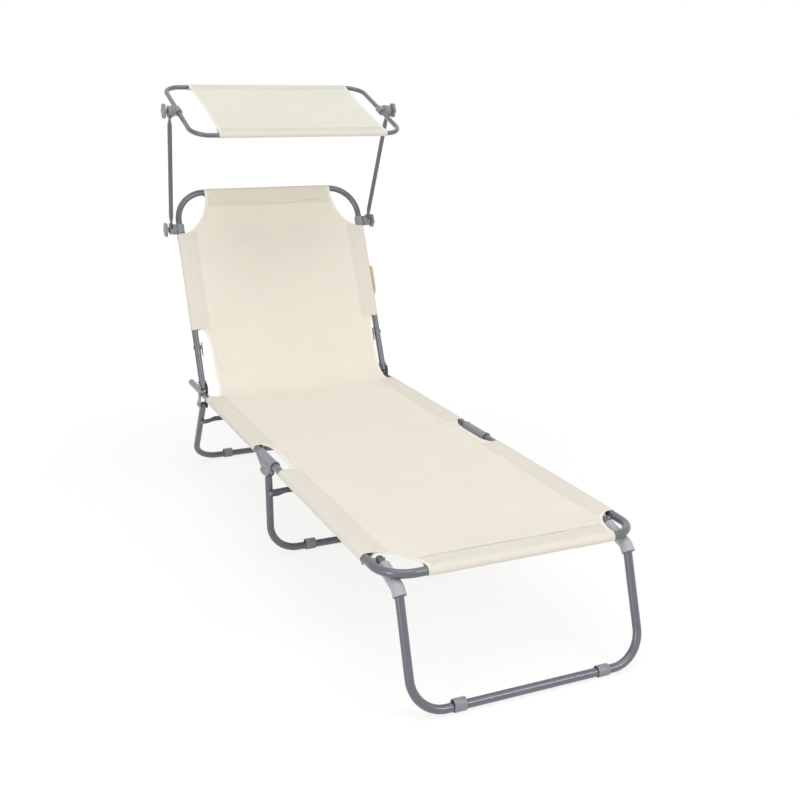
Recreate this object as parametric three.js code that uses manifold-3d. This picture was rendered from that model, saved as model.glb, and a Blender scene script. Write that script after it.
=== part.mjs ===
// Folding sun lounger with a canopy: three tube sections carry one cloth sling on three
// U-shaped legs, and a small tiltable canopy stands on two arms clamped to the backrest.
// Millimetres. X runs across, Y from the foot end to the head end, Z up.
// Left is -X: the left side for someone who stands at the foot end and looks to the head.
import * as THREE from 'three';
import { mergeVertices } from 'three/addons/utils/BufferGeometryUtils.js';
import Module from 'manifold-3d';

const wasm = await Module();
wasm.setup();

// Driving dimensions
const railHalfWidth = 281;
const railHeight = 263;
const tubeRadius = 9;
const footLength = 709;
const seatLength = 600;
const backLength = 578;
const backAngle = THREE.MathUtils.degToRad(65.5);
const footCornerRadius = 62;
const backCornerRadius = 85;
const running = 0.4;

const fastener = { radius: 3, play: 0.4, headRadius: 5.5, headHeight: 2 };
const cloth = { thickness: 1, play: 0.4, sag: 11, sagRun: 150 };

// Hinge fitting between the foot section and the seat, measured from its middle
const saddle = {
  front: 62,
  rear: 57,
  wall: 2.4,
  skirt: 3,
  hingeForward: 8,
  hingeDrop: 20,
  legBehind: 10,
  legDrop: 30,
  spacerBehind: 24,
  spacerDrop: 13,
  rivetBehind: 42,
  edge: 10,
};

// Stamped plates that hold the backrest and the rear leg on the seat rails
const bracket = {
  wall: 2,
  backRise: 18.7,
  topRadius: 13,
  legBehind: 6,
  legDrop: 34,
  edge: 11,
  stopRadius: 3,
  toothDepth: 1.4,
  toothCount: 7,
};
const railTail = 135;
const capLength = 6;

const frontLeg = {
  inset: 27,
  pivotBehind: 88,
  pivotDrop: 5,
  elbowDrop: 26,
  footForward: 74,
  bendRadius: 68,
  elbowRadius: 20,
  sleeveRadius: 12.6,
  sleeveUp: 58,
  sleeveDown: 11.5,
  padInset: 13,
};
const middleLeg = {
  inset: 9.5,
  floorInset: 12.5,
  footBehind: 24,
  bendRadius: 72,
  plate: 5.5,
  plateWidth: 23,
  plateLength: 26,
  taper: 16,
  braceHeight: 173,
  padInset: 16.5,
};
const rearLeg = { floorInset: 9, footBehind: 170, bendRadius: 72, braceHeight: 174, padInset: 19 };
const brace = { radius: 7, offset: 5, plate: 4, plateWidth: 19, plateLength: 20, taper: 26 };
const pad = { length: 26, wall: 2.4, foot: 5, rise: 6 };
const floorBar = tubeRadius + pad.wall;
const halfWidths = {
  frontLeg: railHalfWidth - frontLeg.inset,
  middleLeg: railHalfWidth - middleLeg.inset,
  middleFloor: railHalfWidth - middleLeg.floorInset,
  rearFloor: railHalfWidth - rearLeg.floorInset,
};
const lockPin = { along: 16.4, radius: 2.5, overhang: 1.2 };
const hook = { along: 118, spacer: 3.4, wall: 2.6, width: 12, above: 9, below: 26, tip: 4 };

// Places where the cloth's sleeves start and end along the tubes
const footSleeve = { start: 96, stop: 95, frontHalf: 206.5 };
const seatSleeve = { start: 107, stop: 73 };
const backSleeve = { start: 167, stop: backLength - 123, topHalf: 196, corner: 28 };
const sling = { middleHalfWidth: 252, hingeHalfWidth: 234, cornerRadius: 110, hingeGap: 40 };
const pocket = { along: 230, length: 95, depth: 62, bulge: 13, lap: 3 };

// The cloth has crept to the right on its two free bars
const clothDrift = 10.5;

const canopy = {
  halfWidth: 300,
  length: 343,
  tilt: THREE.MathUtils.degToRad(19.9),
  tubeRadius: 6.3,
  cornerRadius: 48,
  jointGap: 0.6,
  rearY: 240,
  rearZ: 843,
  clothHalf: 241,
  clothWaist: 12,
  sag: 6,
};
const clamp = {
  alongBack: backLength - 108,
  alongCanopy: 176,
  length: 27,
  grip: 4.2,
  discRadius: 15,
  discWall: 7,
  play: 0.3,
};
const hub = { thickness: 10, radius: 14, slot: 5.6, lip: 3.5 };
const arm = { radius: 6.3, plate: 3.4, plateWidth: 15, plateLength: 16, taper: 26 };
const knob = { radius: 20, lobeDepth: 3, lobes: 6, lobeSteps: 6, thickness: 10, neck: 5, neckRadius: 8 };

const leastEndShare = 0.1;
const cornerShares = { across: 0.22, along: 0.75 };
const tubeSides = 12;
const pinSides = 8;
const discSides = 16;
const bendSteps = 6;
const overrun = 4;

const xAxis = new THREE.Vector3(1, 0, 0);
const yAxis = new THREE.Vector3(0, 1, 0);
const zAxis = new THREE.Vector3(0, 0, 1);
const backAlong = new THREE.Vector3(0, Math.cos(backAngle), Math.sin(backAngle));
const backFront = new THREE.Vector3(0, -Math.sin(backAngle), Math.cos(backAngle));
const canopyAlong = new THREE.Vector3(0, -Math.cos(canopy.tilt), -Math.sin(canopy.tilt));
const canopyUp = new THREE.Vector3(0, -Math.sin(canopy.tilt), Math.cos(canopy.tilt));

// Finishes
const steel = { color: 0x8d9099, roughness: 0.45, metalness: 0.35 };
const darkSteel = { color: 0x4c4e55, roughness: 0.5, metalness: 0.4 };
const zinc = { color: 0xb9bcc2, roughness: 0.35, metalness: 0.7 };
const plastic = { color: 0xa9adb6, roughness: 0.6, metalness: 0 };
const canvas = { color: 0xefe8da, roughness: 0.95, metalness: 0 };
const pocketCanvas = { color: 0xe6d3ae, roughness: 0.95, metalness: 0 };

const at = (x, y, z) => new THREE.Vector3(x, y, z);

// A path that runs straight between the points it is given
class BentPath extends THREE.Curve {
  constructor(points) {
    super();
    this.points = points;
  }

  get steps() {
    return this.points.length - 1;
  }

  getPoint(t) {
    const place = Math.min(t * this.steps, this.steps);
    const index = Math.min(Math.floor(place), this.steps - 1);
    return this.points[index].clone().lerp(this.points[index + 1], place - index);
  }

  getPointAt(t) {
    return this.getPoint(t);
  }

  getTangent(t) {
    const index = Math.round(t * this.steps);
    const tangent = new THREE.Vector3();
    for (const step of [index - 1, index]) {
      if (step < 0 || step >= this.steps) continue;
      tangent.add(this.points[step + 1].clone().sub(this.points[step]).normalize());
    }
    return tangent.normalize();
  }

  getTangentAt(t) {
    return this.getTangent(t);
  }
}

// Points along a run of straight lines whose inner corners are rounded
function rounded(corners, radii, steps = bendSteps) {
  const points = [corners[0].clone()];
  for (let i = 1; i < corners.length - 1; i++) {
    const come = corners[i].clone().sub(corners[i - 1]).normalize();
    const leave = corners[i + 1].clone().sub(corners[i]).normalize();
    const turn = come.angleTo(leave);
    const radius = radii[i - 1];
    const start = corners[i].clone().addScaledVector(come, -radius * Math.tan(turn / 2));
    const side = leave.clone().addScaledVector(come, -leave.dot(come)).normalize();
    for (let k = 0; k <= steps; k++) {
      const angle = (turn * k) / steps;
      points.push(
        start
          .clone()
          .addScaledVector(come, radius * Math.sin(angle))
          .addScaledVector(side, radius * (1 - Math.cos(angle))),
      );
    }
  }
  points.push(corners.at(-1).clone());
  return points;
}

// Extra points near both ends of a path, where the tube changes its section
function withEnds(points, distances) {
  const inset = (from, to) => {
    const direction = to.clone().sub(from).normalize();
    return distances.map((distance) => from.clone().addScaledVector(direction, distance));
  };
  const first = inset(points[0], points[1]);
  const last = inset(points.at(-1), points.at(-2)).reverse();
  return [points[0], ...first, ...points.slice(1, -1), ...last, points.at(-1)];
}

function polygon(radius, sides) {
  const points = [];
  for (let i = 0; i < sides; i++) {
    const angle = (2 * Math.PI * (i + 0.5)) / sides;
    points.push(new THREE.Vector2(radius * Math.cos(angle), radius * Math.sin(angle)));
  }
  return points;
}

function tube(points, radius, sides = tubeSides) {
  const path = new BentPath(points);
  return new THREE.ExtrudeGeometry(new THREE.Shape(polygon(radius, sides)), {
    steps: path.steps,
    extrudePath: path,
  });
}

function sleeve(from, to, innerRadius, sides = tubeSides) {
  const shape = new THREE.Shape(polygon(innerRadius + cloth.thickness, sides));
  shape.holes.push(new THREE.Path(polygon(innerRadius, sides)));
  const path = new BentPath([from, to]);
  return new THREE.ExtrudeGeometry(shape, { steps: 1, extrudePath: path });
}

function rod(from, to, radius, sides = tubeSides) {
  return tube([from, to], radius, sides);
}

// A plate cut to an outline in the YZ plane, from x to x + thickness
function plate(shape, x, thickness) {
  const geometry = new THREE.ExtrudeGeometry(shape, {
    depth: thickness,
    bevelEnabled: false,
    curveSegments: bendSteps,
  });
  geometry.applyMatrix4(new THREE.Matrix4().makeBasis(yAxis, zAxis, xAxis));
  return geometry.translate(x, 0, 0);
}

function toSolid(geometry) {
  const bare = geometry.clone();
  bare.deleteAttribute('normal');
  bare.deleteAttribute('uv');
  const merged = mergeVertices(bare, 1e-4);
  const numbers = new wasm.Mesh({
    numProp: 3,
    vertProperties: new Float32Array(merged.attributes.position.array),
    triVerts: new Uint32Array(merged.index.array),
  });
  return new wasm.Manifold(numbers);
}

function toGeometry(solid) {
  const numbers = solid.getMesh();
  const geometry = new THREE.BufferGeometry();
  const places = new THREE.BufferAttribute(numbers.vertProperties, numbers.numProp);
  geometry.setAttribute('position', places);
  geometry.setIndex(new THREE.BufferAttribute(numbers.triVerts, 1));
  return geometry;
}

function join(first, ...others) {
  return toGeometry(others.reduce((sum, other) => sum.add(toSolid(other)), toSolid(first)));
}

function cut(first, ...tools) {
  return toGeometry(tools.reduce((rest, tool) => rest.subtract(toSolid(tool)), toSolid(first)));
}

const sideWays = { left: -1, right: 1 };
const sides = Object.entries(sideWays);

// A hole for a fastener along X
function bore(centre, reach, radius = fastener.radius + fastener.play) {
  const ends = [centre.clone(), centre.clone()];
  ends[0].x -= reach;
  ends[1].x += reach;
  return rod(ends[0], ends[1], radius, pinSides);
}

// A headed pin along X through a stack of plates and tubes
function headedPin(centre, innerFace, outerFace) {
  const { radius, headRadius, headHeight, play } = fastener;
  const low = Math.min(innerFace, outerFace) - play;
  const high = Math.max(innerFace, outerFace) + play;
  const dome = headRadius / 2;
  const profile = [
    [0, low - headHeight],
    [dome, low - headHeight],
    [headRadius, low],
    [radius, low],
    [radius, high],
    [headRadius, high],
    [dome, high + headHeight],
    [0, high + headHeight],
  ].map(([r, x]) => new THREE.Vector2(r, x));
  const geometry = new THREE.LatheGeometry(profile, pinSides);
  geometry.rotateZ(-Math.PI / 2);
  return geometry.translate(0, centre.y, centre.z);
}

// Flattens the end of a tube: thin along one direction and wide across it
function flattenEnd(geometry, { end, inward, thin, radius, thickness, width, length, taper, shift }) {
  const wide = new THREE.Vector3().crossVectors(inward, thin).normalize();
  const places = geometry.attributes.position;
  const point = new THREE.Vector3();
  for (let i = 0; i < places.count; i++) {
    point.fromBufferAttribute(places, i).sub(end);
    const along = point.dot(inward);
    if (along > length + taper || point.length() > length + taper + 2 * radius) continue;
    const share = along < length ? 1 : THREE.MathUtils.smoothstep(length + taper - along, 0, taper);
    const reach = Math.max(0, width / 2 - along) / (width / 2);
    const round = Math.sqrt(Math.max(leastEndShare, 1 - reach * reach));
    const thinPart = point.dot(thin);
    const widePart = point.dot(wide);
    const thinner = thinPart * (thickness / 2 / radius) + shift;
    const wider = widePart * (width / 2 / radius) * round;
    point.addScaledVector(thin, (thinner - thinPart) * share);
    point.addScaledVector(wide, (wider - widePart) * share);
    point.add(end);
    places.setXYZ(i, point.x, point.y, point.z);
  }
  return geometry;
}

// Rounds the end of a tube off to a half ball
function roundEnd(geometry, end, inward) {
  const places = geometry.attributes.position;
  const point = new THREE.Vector3();
  for (let i = 0; i < places.count; i++) {
    point.fromBufferAttribute(places, i).sub(end);
    const along = point.dot(inward);
    if (along > tubeRadius || point.length() > 2 * tubeRadius) continue;
    const reach = 1 - along / tubeRadius;
    point.multiplyScalar(Math.sqrt(Math.max(leastEndShare, 1 - reach * reach)));
    point.addScaledVector(inward, along - point.dot(inward)).add(end);
    places.setXYZ(i, point.x, point.y, point.z);
  }
}

// A tube bent along corners, with ends rounded about the first and the last of them
function roundEndedTube(corners, radii) {
  const outward = (end, next) => end.clone().sub(next).normalize();
  const ends = [outward(corners[0], corners[1]), outward(corners.at(-1), corners.at(-2))];
  const longer = [
    corners[0].clone().addScaledVector(ends[0], tubeRadius),
    ...corners.slice(1, -1),
    corners.at(-1).clone().addScaledVector(ends[1], tubeRadius),
  ];
  const rings = [tubeRadius / 6, tubeRadius / 2, tubeRadius];
  const geometry = tube(withEnds(rounded(longer, radii), rings), tubeRadius);
  roundEnd(geometry, longer[0], ends[0].negate());
  roundEnd(geometry, longer.at(-1), ends[1].negate());
  return geometry;
}

// Distances from a flattened end at which the section changes
function endRings(width, length, taper) {
  const half = width / 2;
  return [half / 3, half, length, length + taper];
}

// A closed sheet over a grid of points: place(u, v) for u and v from 0 to 1
function sheet(place, normal, thickness, columns, rows) {
  const positions = [];
  for (const side of [1, 0]) {
    for (let j = 0; j <= rows; j++) {
      for (let i = 0; i <= columns; i++) {
        const point = place(i / columns, j / rows);
        point.addScaledVector(normal(j / rows), side * thickness);
        positions.push(point.x, point.y, point.z);
      }
    }
  }
  const layer = (columns + 1) * (rows + 1);
  const number = (i, j, side) => side * layer + j * (columns + 1) + i;
  const index = [];
  const quad = (a, b, c, d) => index.push(a, b, c, a, c, d);
  for (let j = 0; j < rows; j++) {
    for (let i = 0; i < columns; i++) {
      quad(number(i, j, 0), number(i + 1, j, 0), number(i + 1, j + 1, 0), number(i, j + 1, 0));
      quad(number(i, j, 1), number(i, j + 1, 1), number(i + 1, j + 1, 1), number(i + 1, j, 1));
    }
  }
  for (let i = 0; i < columns; i++) {
    quad(number(i, 0, 0), number(i, 0, 1), number(i + 1, 0, 1), number(i + 1, 0, 0));
    quad(number(i + 1, rows, 0), number(i + 1, rows, 1), number(i, rows, 1), number(i, rows, 0));
  }
  for (let j = 0; j < rows; j++) {
    quad(number(0, j + 1, 0), number(0, j + 1, 1), number(0, j, 1), number(0, j, 0));
    quad(
      number(columns, j, 0),
      number(columns, j, 1),
      number(columns, j + 1, 1),
      number(columns, j + 1, 0),
    );
  }
  const geometry = new THREE.BufferGeometry();
  geometry.setAttribute('position', new THREE.Float32BufferAttribute(positions, 3));
  geometry.setIndex(index);
  return geometry;
}

// The scene: each moving section is a group whose origin is its own pivot
const middleY = footLength;
const backY = middleY + seatLength;
const pivots = {
  footHinge: at(0, middleY - saddle.hingeForward, railHeight - saddle.hingeDrop),
  middleLeg: at(0, middleY + saddle.legBehind, railHeight - saddle.legDrop),
  rearLeg: at(0, backY + bracket.legBehind, railHeight - bracket.legDrop),
  frontLeg: at(0, frontLeg.pivotBehind, railHeight - frontLeg.pivotDrop),
  back: at(0, backY, railHeight + bracket.backRise),
};
const canopyRear = pivots.back.clone().add(at(0, canopy.rearY, canopy.rearZ - bracket.backRise));
const lowerClamp = pivots.back.clone().addScaledVector(backAlong, clamp.alongBack);
const upperClamp = canopyRear.clone().addScaledVector(canopyAlong, clamp.alongCanopy);

const lounger = new THREE.Group();
const sections = {};

function section(name, parent, pivot) {
  const group = new THREE.Group();
  group.name = `${name}_section`;
  const origin = parent ? sections[parent].origin : at(0, 0, 0);
  group.position.copy(pivot).sub(origin);
  (parent ? sections[parent].group : lounger).add(group);
  sections[name] = { group, origin: pivot.clone() };
}

function add(sectionName, name, geometry, finish) {
  const { group, origin } = sections[sectionName];
  const moved = geometry.clone().translate(-origin.x, -origin.y, -origin.z);
  moved.deleteAttribute('uv');
  moved.deleteAttribute('normal');
  const whole = mergeVertices(moved, 1e-4);
  whole.computeVertexNormals();
  const mesh = new THREE.Mesh(whole, new THREE.MeshStandardMaterial(finish));
  mesh.name = name;
  group.add(mesh);
}

section('seat', null, at(0, 0, 0));
section('foot', 'seat', pivots.footHinge);
section('front_leg', 'foot', pivots.frontLeg);
section('middle_leg', 'seat', pivots.middleLeg);
section('rear_leg', 'seat', pivots.rearLeg);
section('back', 'seat', pivots.back);

const channelHalf = tubeRadius + running + fastener.play;
const cheekFace = channelHalf + saddle.wall;
const sleeveInner = tubeRadius + cloth.play;
const sleeveOuter = sleeveInner + cloth.thickness;
const panelRise = tubeRadius + cloth.play;

// Seat rails with the fittings riveted to them
function buildSeatRails() {
  const railFront = middleY + running * overrun;
  const railRear = backY + railTail;
  for (const [side, way] of sides) {
    const x = way * railHalfWidth;
    const rail = cut(
      rod(at(x, railFront, railHeight), at(x, railRear, railHeight), tubeRadius),
      bore(at(x, middleY + saddle.rivetBehind, railHeight), cheekFace),
      bore(at(x, backY, railHeight), cheekFace),
    );
    add('seat', `${side}_seat_rail`, rail, steel);
    const profile = [
      [0, 0],
      [tubeRadius, 0],
      [tubeRadius, capLength / 3],
      [tubeRadius * 0.8, capLength * 0.8],
      [tubeRadius * 0.4, capLength],
      [0, capLength],
    ].map(([r, y]) => new THREE.Vector2(r, y));
    const cap = new THREE.LatheGeometry(profile, tubeSides);
    add('seat', `${side}_rail_cap`, cap.translate(x, railRear + fastener.play, railHeight), plastic);
    add('seat', `${side}_saddle`, buildSaddle(x), plastic);
  }
}

// Inverted channel over the joint, with cheeks that come down to the leg
function buildSaddle(x) {
  const arch = new THREE.Shape();
  arch.moveTo(-cheekFace, -saddle.skirt);
  arch.lineTo(-cheekFace, 0);
  arch.absarc(0, 0, cheekFace, Math.PI, 0, true);
  arch.lineTo(cheekFace, -saddle.skirt);
  arch.lineTo(channelHalf, -saddle.skirt);
  arch.lineTo(channelHalf, 0);
  arch.absarc(0, 0, channelHalf, 0, Math.PI, false);
  arch.lineTo(-channelHalf, -saddle.skirt);
  const roof = new THREE.ExtrudeGeometry(arch, {
    depth: saddle.front + saddle.rear,
    bevelEnabled: false,
    curveSegments: bendSteps,
  });
  roof.rotateX(Math.PI / 2);
  roof.translate(x, middleY + saddle.rear, railHeight);
  const { edge, hingeForward, hingeDrop, legBehind, legDrop } = saddle;
  const cheek = new THREE.Shape();
  cheek.moveTo(-hingeForward - 1.6 * edge, 0);
  cheek.lineTo(-hingeForward - edge, -hingeDrop);
  cheek.lineTo(legBehind - edge, -legDrop - edge / 2);
  cheek.absarc(legBehind, -legDrop, edge, Math.PI, 1.9 * Math.PI, false);
  cheek.lineTo(saddle.spacerBehind + edge / 2, -saddle.spacerDrop - edge / 2);
  cheek.lineTo(saddle.rear, -saddle.skirt);
  cheek.lineTo(saddle.rear, 0);
  const place = (geometry) => geometry.translate(0, middleY, railHeight);
  const outer = place(plate(cheek, x + channelHalf, saddle.wall));
  const inner = place(plate(cheek, x - cheekFace, saddle.wall));
  const rivetHalf = cheekFace - running;
  const rivetSpots = [
    at(x, middleY + saddle.rivetBehind, railHeight),
    at(x, middleY + saddle.spacerBehind, railHeight - saddle.spacerDrop),
  ];
  const joined = join(roof, outer, inner, ...rivetSpots.map((spot) => rivetThrough(spot, rivetHalf)));
  return cut(joined, bore(pivots.footHinge.clone().setX(x), 2 * cheekFace), legBore(x));
}

function legBore(x) {
  return bore(pivots.middleLeg.clone().setX(x), 2 * cheekFace);
}

// A rivet along X with a low head on each side, made in one with what it holds
function rivetThrough(centre, half) {
  const { radius, headRadius, headHeight } = fastener;
  const shank = bore(centre, half + headHeight / 2, radius);
  const heads = [-1, 1].map((way) => {
    const from = centre.clone();
    const to = centre.clone();
    from.x += way * half;
    to.x += way * (half + headHeight);
    return rod(from, to, headRadius, pinSides);
  });
  return join(shank, ...heads);
}

// Plates on both sides of the seat rail, for the backrest's pivot above and the leg's below
function buildBrackets() {
  const half = tubeRadius + running;
  const stop = stopPlace();
  for (const [side, way] of sides) {
    const x = way * railHalfWidth;
    const outline = bracketOutline(stop);
    const lift = (geometry) => geometry.translate(0, backY, railHeight);
    const holes = [pivots.back, pivots.rearLeg].map((p) => bore(p.clone().setX(x), 2 * half));
    const outerX = way > 0 ? x + half : x - half - bracket.wall;
    const innerX = way > 0 ? x - half - bracket.wall : x + half;
    const outerPlate = lift(plate(outline, outerX, bracket.wall));
    const innerPlate = lift(plate(outline, innerX, bracket.wall));
    const reach = half + bracket.wall;
    const railRivet = rivetThrough(at(x, backY, railHeight), reach + fastener.play);
    const stopAt = at(x, stop.y, stop.z);
    const stopRivet = rivetThrough(stopAt, reach + fastener.play);
    const rivets = [railRivet, stopRivet];
    const seat = [at(x, backY, railHeight), stopAt].map((p) => bore(p, half + bracket.wall * 2));
    const inner = cut(innerPlate, ...holes, ...seat);
    add('seat', `${side}_inner_plate`, inner, darkSteel);
    const outer = cut(join(outerPlate, ...rivets), ...holes);
    add('seat', `${side}_outer_plate`, outer, zinc);
    const backPin = headedPin(pivots.back, x - reach, x + reach);
    add('seat', `${side}_back_pin`, backPin, zinc);
    const legPin = headedPin(pivots.rearLeg, x - reach, x + reach);
    add('seat', `${side}_rear_leg_pin`, legPin, zinc);
  }
}

function rearLegWay() {
  return at(0, rearLeg.footBehind, floorBar - pivots.rearLeg.z).normalize();
}

// The stop that the rear leg leans on, just behind its tube
function stopPlace() {
  const way = rearLegWay();
  const behind = at(0, -way.z, way.y);
  const reach = tubeRadius + bracket.stopRadius + running;
  return pivots.rearLeg.clone().addScaledVector(way, bracket.topRadius).addScaledVector(behind, reach);
}

function bracketOutline(stop) {
  const outline = new THREE.Shape();
  const { topRadius, backRise, legBehind, legDrop, edge } = bracket;
  outline.moveTo(-topRadius, 0);
  outline.lineTo(-topRadius, backRise);
  const notchEnd = 0.8 * Math.PI;
  const steps = 2 * bracket.toothCount;
  for (let k = 0; k <= steps; k++) {
    const angle = notchEnd * (1 - k / steps);
    const radius = k % 2 ? topRadius - bracket.toothDepth : topRadius;
    outline.lineTo(radius * Math.cos(angle), backRise + radius * Math.sin(angle));
  }
  const stopY = stop.y - backY;
  const stopZ = stop.z - railHeight;
  outline.lineTo(topRadius, -topRadius);
  outline.lineTo(stopY + edge / 2, stopZ + edge / 2);
  outline.lineTo(stopY + edge / 2, stopZ - edge / 3);
  outline.lineTo(legBehind + edge, -legDrop - edge / 3);
  outline.absarc(legBehind, -legDrop, edge, -0.1 * Math.PI, -0.95 * Math.PI, true);
  return outline;
}

// U-shaped frame of the foot section, with lugs down to its hinge
function buildFootFrame() {
  const hinge = pivots.footHinge;
  const corners = [
    at(-railHalfWidth, hinge.y, railHeight),
    at(-railHalfWidth, 0, railHeight),
    at(railHalfWidth, 0, railHeight),
    at(railHalfWidth, hinge.y, railHeight),
  ];
  const frame = tube(rounded(corners, [footCornerRadius, footCornerRadius]), tubeRadius);
  const parts = [];
  const holes = [];
  for (const [side, way] of sides) {
    const x = way * railHalfWidth;
    const lug = new THREE.Shape();
    const lugRadius = fastener.headRadius + fastener.radius;
    lug.moveTo(-2.4 * lugRadius, saddle.hingeDrop);
    lug.lineTo(-lugRadius, 0);
    lug.absarc(0, 0, lugRadius, Math.PI, 2 * Math.PI, false);
    lug.lineTo(lugRadius, lugRadius / 2);
    lug.lineTo(0, saddle.hingeDrop);
    const lugPlate = plate(lug, x - tubeRadius / 2, tubeRadius);
    parts.push(lugPlate.translate(0, hinge.y, hinge.z));
    holes.push(bore(hinge.clone().setX(x), 2 * tubeRadius));
    const legPivot = pivots.frontLeg.clone().setX(x);
    holes.push(bore(legPivot, 2 * tubeRadius));
    const pin = headedPin(hinge, x - cheekFace, x + cheekFace);
    add('seat', `${side}_foot_pin`, pin, zinc);
    const railFace = way * (railHalfWidth + tubeRadius);
    const legFace = way * (halfWidths.frontLeg - tubeRadius);
    add('foot', `${side}_front_leg_pin`, headedPin(pivots.frontLeg, legFace, railFace), zinc);
    const bushFrom = way * (halfWidths.frontLeg + tubeRadius + running);
    const bushTo = way * (railHalfWidth - tubeRadius - fastener.play);
    const bushRing = new THREE.Shape(polygon(fastener.headRadius + fastener.play, tubeSides));
    bushRing.holes.push(new THREE.Path(polygon(fastener.radius + fastener.play, tubeSides)));
    const path = new BentPath([
      at(bushFrom, legPivot.y, legPivot.z),
      at(bushTo, legPivot.y, legPivot.z),
    ]);
    const bush = new THREE.ExtrudeGeometry(bushRing, { steps: 1, extrudePath: path });
    add('foot', `${side}_leg_bush`, bush, plastic);
  }
  add('foot', 'foot_frame', cut(join(frame, ...parts), ...holes), steel);
}

// How far the sling hangs below its tubes
function slingSag(x, halfWidth, run) {
  const across = Math.max(0, 1 - (x / halfWidth) ** 2);
  return cloth.sag * across * THREE.MathUtils.smoothstep(run, 0, cloth.sagRun);
}

function buildFootCloth() {
  const start = 0;
  const stop = pivots.footHinge.y - running;
  const top = railHeight + panelRise;
  const panel = sheet(
    (u, v) => {
      const x = THREE.MathUtils.lerp(-railHalfWidth, railHalfWidth, u);
      const y = THREE.MathUtils.lerp(start, stop, v);
      return at(x, y, top - slingSag(x, railHalfWidth, y));
    },
    () => zAxis,
    cloth.thickness,
    8,
    6,
  );
  const frontSleeve = sleeve(
    at(clothDrift - footSleeve.frontHalf, 0, railHeight),
    at(clothDrift + footSleeve.frontHalf, 0, railHeight),
    sleeveInner,
  );
  const sleeves = [frontSleeve];
  const cuts = [];
  for (const [, way] of sides) {
    const x = way * railHalfWidth;
    const rear = middleY - footSleeve.stop;
    sleeves.push(sleeve(at(x, footSleeve.start, railHeight), at(x, rear, railHeight), sleeveInner));
    cuts.push(cornerCut(way, footSleeve.frontHalf + way * clothDrift, footSleeve.start));
    cuts.push(waistCut(way, rear, stop + overrun, sling.middleHalfWidth));
  }
  add('foot', 'foot_cloth', cut(join(panel, ...sleeves), ...cuts), canvas);
}

// An upright tool that takes a shape out of the seat's or the foot's sling
function uprightTool(shape) {
  const height = 4 * tubeRadius;
  const tool = new THREE.ExtrudeGeometry(shape, {
    depth: height,
    bevelEnabled: false,
    curveSegments: bendSteps,
  });
  return tool.translate(0, 0, railHeight - height / 2);
}

// The slightly hollow cut across a corner of the foot section
function cornerCut(way, inside, along) {
  const beyond = way * (railHalfWidth + 2 * tubeRadius);
  const edge = railHalfWidth - 1.5 * tubeRadius;
  const pullX = way * THREE.MathUtils.lerp(inside, edge, cornerShares.across);
  const shape = new THREE.Shape();
  shape.moveTo(beyond, -2 * tubeRadius);
  shape.lineTo(way * inside, -2 * tubeRadius);
  shape.lineTo(way * inside, tubeRadius);
  shape.quadraticCurveTo(pullX, along * cornerShares.along, way * edge, along);
  shape.lineTo(beyond, along);
  shape.closePath();
  return uprightTool(shape);
}

// The shallow cut-out beside a hinge, from a sleeve's end to the sling's narrow part
function waistCut(way, from, to, halfWidth) {
  const beyond = way * (railHalfWidth + 2 * tubeRadius);
  const edge = way * (railHalfWidth - 1.5 * tubeRadius);
  const shape = new THREE.Shape();
  shape.moveTo(beyond, from);
  shape.lineTo(edge, from);
  const middle = (from + to) / 2;
  shape.bezierCurveTo(way * halfWidth, from, way * halfWidth, middle, way * halfWidth, to);
  shape.lineTo(beyond, to);
  shape.closePath();
  return uprightTool(shape);
}

function buildSeatCloth() {
  const start = pivots.footHinge.y + running;
  const panel = seatPanel(start);
  const sleeves = [];
  const cuts = [];
  for (const [, way] of sides) {
    const x = way * railHalfWidth;
    const from = middleY + seatSleeve.start;
    const to = backY - seatSleeve.stop;
    sleeves.push(sleeve(at(x, from, railHeight), at(x, to, railHeight), sleeveInner));
    cuts.push(waistCut(way, from, start - overrun, sling.middleHalfWidth));
    cuts.push(waistCut(way, to, backY, sling.hingeHalfWidth));
  }
  add('seat', 'seat_cloth', cut(join(panel, ...sleeves), ...cuts), canvas);
}

// The seat's sling, which starts to rise into the backrest before it ends
function seatPanel(start) {
  const top = railHeight + panelRise;
  const turnStart = slingTurn();
  const arcLength = sling.cornerRadius * (backAngle / 2);
  const flat = turnStart - start;
  const total = flat + arcLength;
  return sheet(
    (u, v) => {
      const along = total * v;
      const x = THREE.MathUtils.lerp(-railHalfWidth, railHalfWidth, u);
      const dip = slingSag(x, railHalfWidth, cloth.sagRun) * Math.max(0, 1 - along / total / 4);
      if (along <= flat) return at(x, start + along, top - dip);
      const angle = (along - flat) / sling.cornerRadius;
      const y = turnStart + sling.cornerRadius * Math.sin(angle);
      return at(x, y, top + sling.cornerRadius * (1 - Math.cos(angle)) - dip);
    },
    (v) => {
      const angle = Math.max(0, total * v - flat) / sling.cornerRadius;
      return at(0, -Math.sin(angle), Math.cos(angle));
    },
    cloth.thickness,
    8,
    11,
  );
}

// Where the seat's sling leaves its level for the curve that meets the backrest's plane
function slingTurn() {
  const rise = panelRise - bracket.backRise;
  const along = (rise - panelRise * Math.cos(backAngle)) / Math.sin(backAngle);
  const corner = backY + along * Math.cos(backAngle) - panelRise * Math.sin(backAngle);
  return corner - sling.cornerRadius * Math.tan(backAngle / 2);
}

// Corners of a U in the plane of its two arms
function uCorners(topHalf, bottomHalf, top, bottom) {
  return [
    at(-topHalf, top.y, top.z),
    at(-bottomHalf, bottom.y, bottom.z),
    at(bottomHalf, bottom.y, bottom.z),
    at(topHalf, top.y, top.z),
  ];
}

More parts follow.
